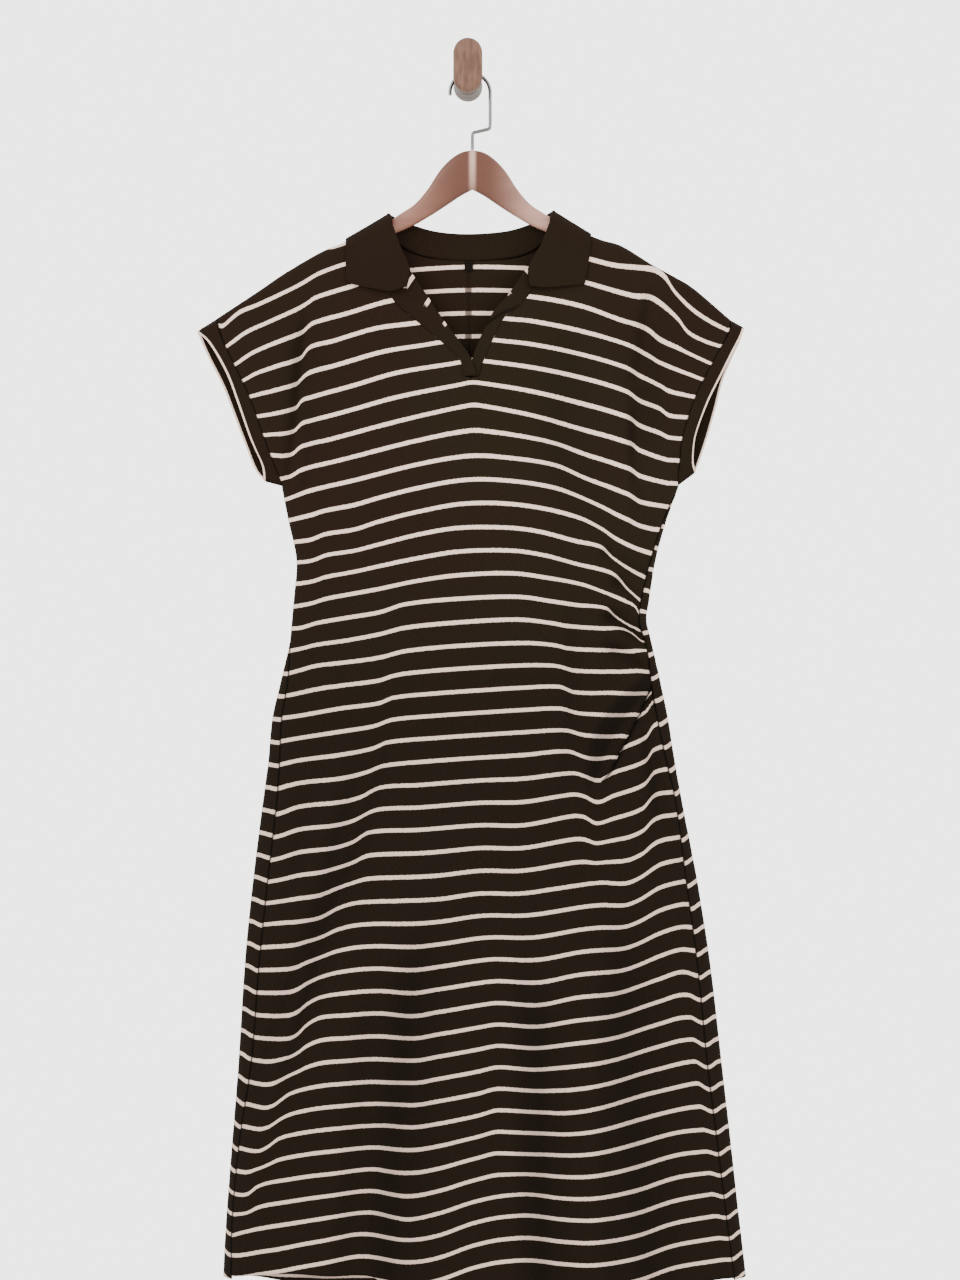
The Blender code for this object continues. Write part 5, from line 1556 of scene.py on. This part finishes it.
def rib_material(name, edged=False, faced=False):
    """Fine ribs in the dark yarn, with a pale edge or short pale marks on a facing."""
    shade = Shade(name)
    places = shade.parts(shade.uv("places"))
    stitches = shade.uv("stitches")
    sizes = shade.parts(stitches)
    ribs = shade.math("PINGPONG", sizes["X"], 0.5 * RIB_PITCH)
    rows = shade.math("SINE", shade.times(sizes["Y"], 2 * math.pi / STITCH_HEIGHT))
    furrow = shade.step(ribs, 0.35 * RIB_PITCH, 0.05 * RIB_PITCH)
    colour = shadowed(shade, furrow, FURROW_SHADOW, cloth_tint(shade))
    uneven, light = pale_yarn(shade, stitches)
    if edged:
        wobble = shade.times_plus(shade.noise(stitches, 0.5), 2.0 * EDGE_BLUR, -EDGE_BLUR)
        reached = shade.math("ADD", places["X"], wobble)
        edge = shade.step(reached, EDGE_LINE + EDGE_BLUR, EDGE_LINE - EDGE_BLUR)
        colour = shade.mix(edge, colour, light)
    if faced:
        marks = shade.parts(shade.uv("stripes"))
        away = shade.times(shade.distance(marks["X"], shade.math("ROUND", marks["X"])), PLACKET_MARK_PITCH)
        colour = shade.mix(shade.times(shade.step(away, *MARK_EDGES), places["Y"]), colour, light)
        # Painted shadow under the end of the right placket's upper part
        colour = shadowed(shade, marks["Y"], SEAM_SHADOW, colour)
    height = shade.times_plus(rows, 0.1, shade.times(ribs, 1.6 / RIB_PITCH))
    return finish_yarn(shade, stitches, colour, uneven, height)


def hanger_material(name):
    """Varnished wood, brown at the middle and pinker along the arms, with a painted highlight along the
    joint.
    """
    shade = Shade(name)
    place = shade.place()
    sizes = shade.parts(place)
    away = shade.distance(sizes["X"], HANGER_MIDDLE * MM)
    grain = shade.noise(shade.scaled(place, HANGER_GRAIN), 1.0, 4.0)
    arms = shade.mix(shade.between(sizes["X"], HANGER_ARMS), HANGER_LEFT, HANGER_RIGHT)
    tint = shade.mix(shade.between(away, HANGER_CENTRE), HANGER_BROWN, arms)
    colour = shade.mix(shade.times(shade.step(grain, 0.4, 0.7), 0.3), tint, HANGER_DARK)
    # Painted highlight: a pale soft band along the joint at the middle
    joint_highlight = shade.times(shade.between(away, JOINT_HIGHLIGHT_EDGES), shade.between(sizes["Z"], JOINT_HIGHLIGHT_HEIGHTS))
    colour = shade.mix(joint_highlight, colour, HANGER_JOINT_HIGHLIGHT)
    shade.bump(grain, 0.12, 0.0004)
    roughness = shade.times_plus(grain, 0.2, 0.3)
    return shade.finish(colour, roughness, Coat_Weight=0.05, Coat_Roughness=0.2, Specular_IOR_Level=0.25)


def peg_material(name):
    """Plain wood with upright grain."""
    shade = Shade(name)
    place = shade.place()
    grain = shade.noise(shade.scaled(place, PEG_GRAIN), 1.0, 4.0)
    patches = shade.noise(shade.scaled(place, PEG_PATCHES), 1.0)
    mottled = shade.times_plus(patches, 0.5, shade.times(grain, 0.5))
    colour = shade.mix(shade.step(mottled, 0.38, 0.62), PEG_LIGHT, PEG_DARK)
    colour = shade.mix(shade.between(shade.parts(place)["Y"], PEG_FRONT), colour, PEG_SIDE)
    shade.bump(grain, 0.2, 0.0005)
    return shade.finish(colour, shade.times_plus(grain, 0.2, 0.5), Specular_IOR_Level=0.15)


def wire_material(name):
    """Bright plated wire."""
    shade = Shade(name)
    marks = shade.noise(shade.scaled(shade.place(), WIRE_MARKS), 1.0, 3.0)
    colour = shade.mix(marks, WIRE_LIGHT, WIRE_DARK)
    return shade.finish(colour, shade.times_plus(marks, 0.14, 0.12), Metallic=1.0)


def tab_material(name):
    """A dark woven tab."""
    shade = Shade(name)
    sizes = shade.parts(shade.uv("stitches"))
    over, along = (shade.math("SINE", shade.times(sizes[axis], WEAVE_TURNS)) for axis in "XY")
    weave = shade.times_plus(shade.times(over, along), 0.5, 0.5)
    shade.bump(weave, 0.3, 0.0002)
    colour = shade.mix(weave, TAB_DARK, TAB_LIGHT)
    return shade.finish(colour, shade.times_plus(weave, 0.1, 0.8), Specular_IOR_Level=YARN_SPECULAR)


def floor_material(name):
    shade = Shade(name)
    worn = shade.noise(shade.place(), 2.0)
    return shade.finish(shade.mix(worn, FLOOR_LIGHT, FLOOR_DARK), 0.8)


def add_light(name, place, target, size, watts):
    light = bpy.data.lights.new(name, "AREA")
    light.shape = "DISK"
    light.size = size
    light.energy = watts
    made = placed(name, light)
    made.location = place
    made.rotation_euler = (Vector(target) - Vector(place)).to_track_quat("-Z", "Y").to_euler()


def make_stage():
    """A plain pale floor under soft light from the front, the sides and behind."""
    bpy.ops.mesh.primitive_circle_add(
        vertices=96, radius=FLOOR_RADIUS, fill_type="NGON", location=(0, 0, FLOOR_HEIGHT)
    )
    floor = bpy.context.object
    floor.name = "floor"
    floor.data.materials.append(floor_material("pale_floor"))
    world = bpy.data.worlds.new("pale_studio")
    world.use_nodes = True
    background = world.node_tree.nodes["Background"]
    background.inputs["Color"].default_value = (*WORLD_COLOUR, 1.0)
    background.inputs["Strength"].default_value = WORLD_STRENGTH
    bpy.context.scene.world = world
    for light in LIGHTS:
        add_light(*light)


def add_camera():
    camera = bpy.data.cameras.new("front_camera")
    camera.lens = CAMERA_LENS
    camera.sensor_width = CAMERA_SENSOR
    made = placed("front_camera", camera)
    made.location = CAMERA_PLACE
    made.rotation_euler = (math.radians(90), 0.0, 0.0)
    bpy.context.scene.camera = made


def write_sizes():
    """Brings the view layer up to date."""
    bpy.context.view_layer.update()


def main():
    knit = [knit_material("striped_knit"), knit_material("striped_knit_inside", inside=True)]
    edged = rib_material("rib_with_pale_edge", edged=True)
    faced = rib_material("rib_with_striped_facing", faced=True)
    pieces = (
        (make_front(knit), "front_panel", "striped_knit", (0.60, 1.20), 0.53),
        (make_back("left", knit), "back_left", "striped_knit", (0.31, 1.20), 0.29),
        (make_back("right", knit), "back_right", "striped_knit", (0.31, 1.20), 0.29),
        (make_band("left", edged), "armhole_band_left", "rib", (0.02, 0.40), None),
        (make_band("right", edged), "armhole_band_right", "rib", (0.02, 0.40), None),
        (make_placket("left", faced), "placket_left", "rib", (0.028, 0.13), None),
        (make_placket("right", faced), "placket_right", "rib", (0.017, 0.12), None),
        (make_collar(rib_material("rib")), "collar", "rib", (0.078, 0.36), None),
        (make_label(tab_material("tab")), "neck_label", "tab", (0.010, 0.010), None),
        (make_hanger(hanger_material("hanger_wood")), "hanger_body", "hanger_wood", None, None),
        (make_hook(wire_material("hook_wire")), "hanger_hook", "hook_wire", None, None),
        (make_peg(peg_material("peg_wood")), "wall_peg", "peg_wood", None, None),
    )
    for piece, node, slot, flat, area in pieces:
        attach(piece, "root")
        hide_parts(node)
    make_stage()
    add_camera()
    bpy.context.view_layer.update()
    write_sizes()


main()
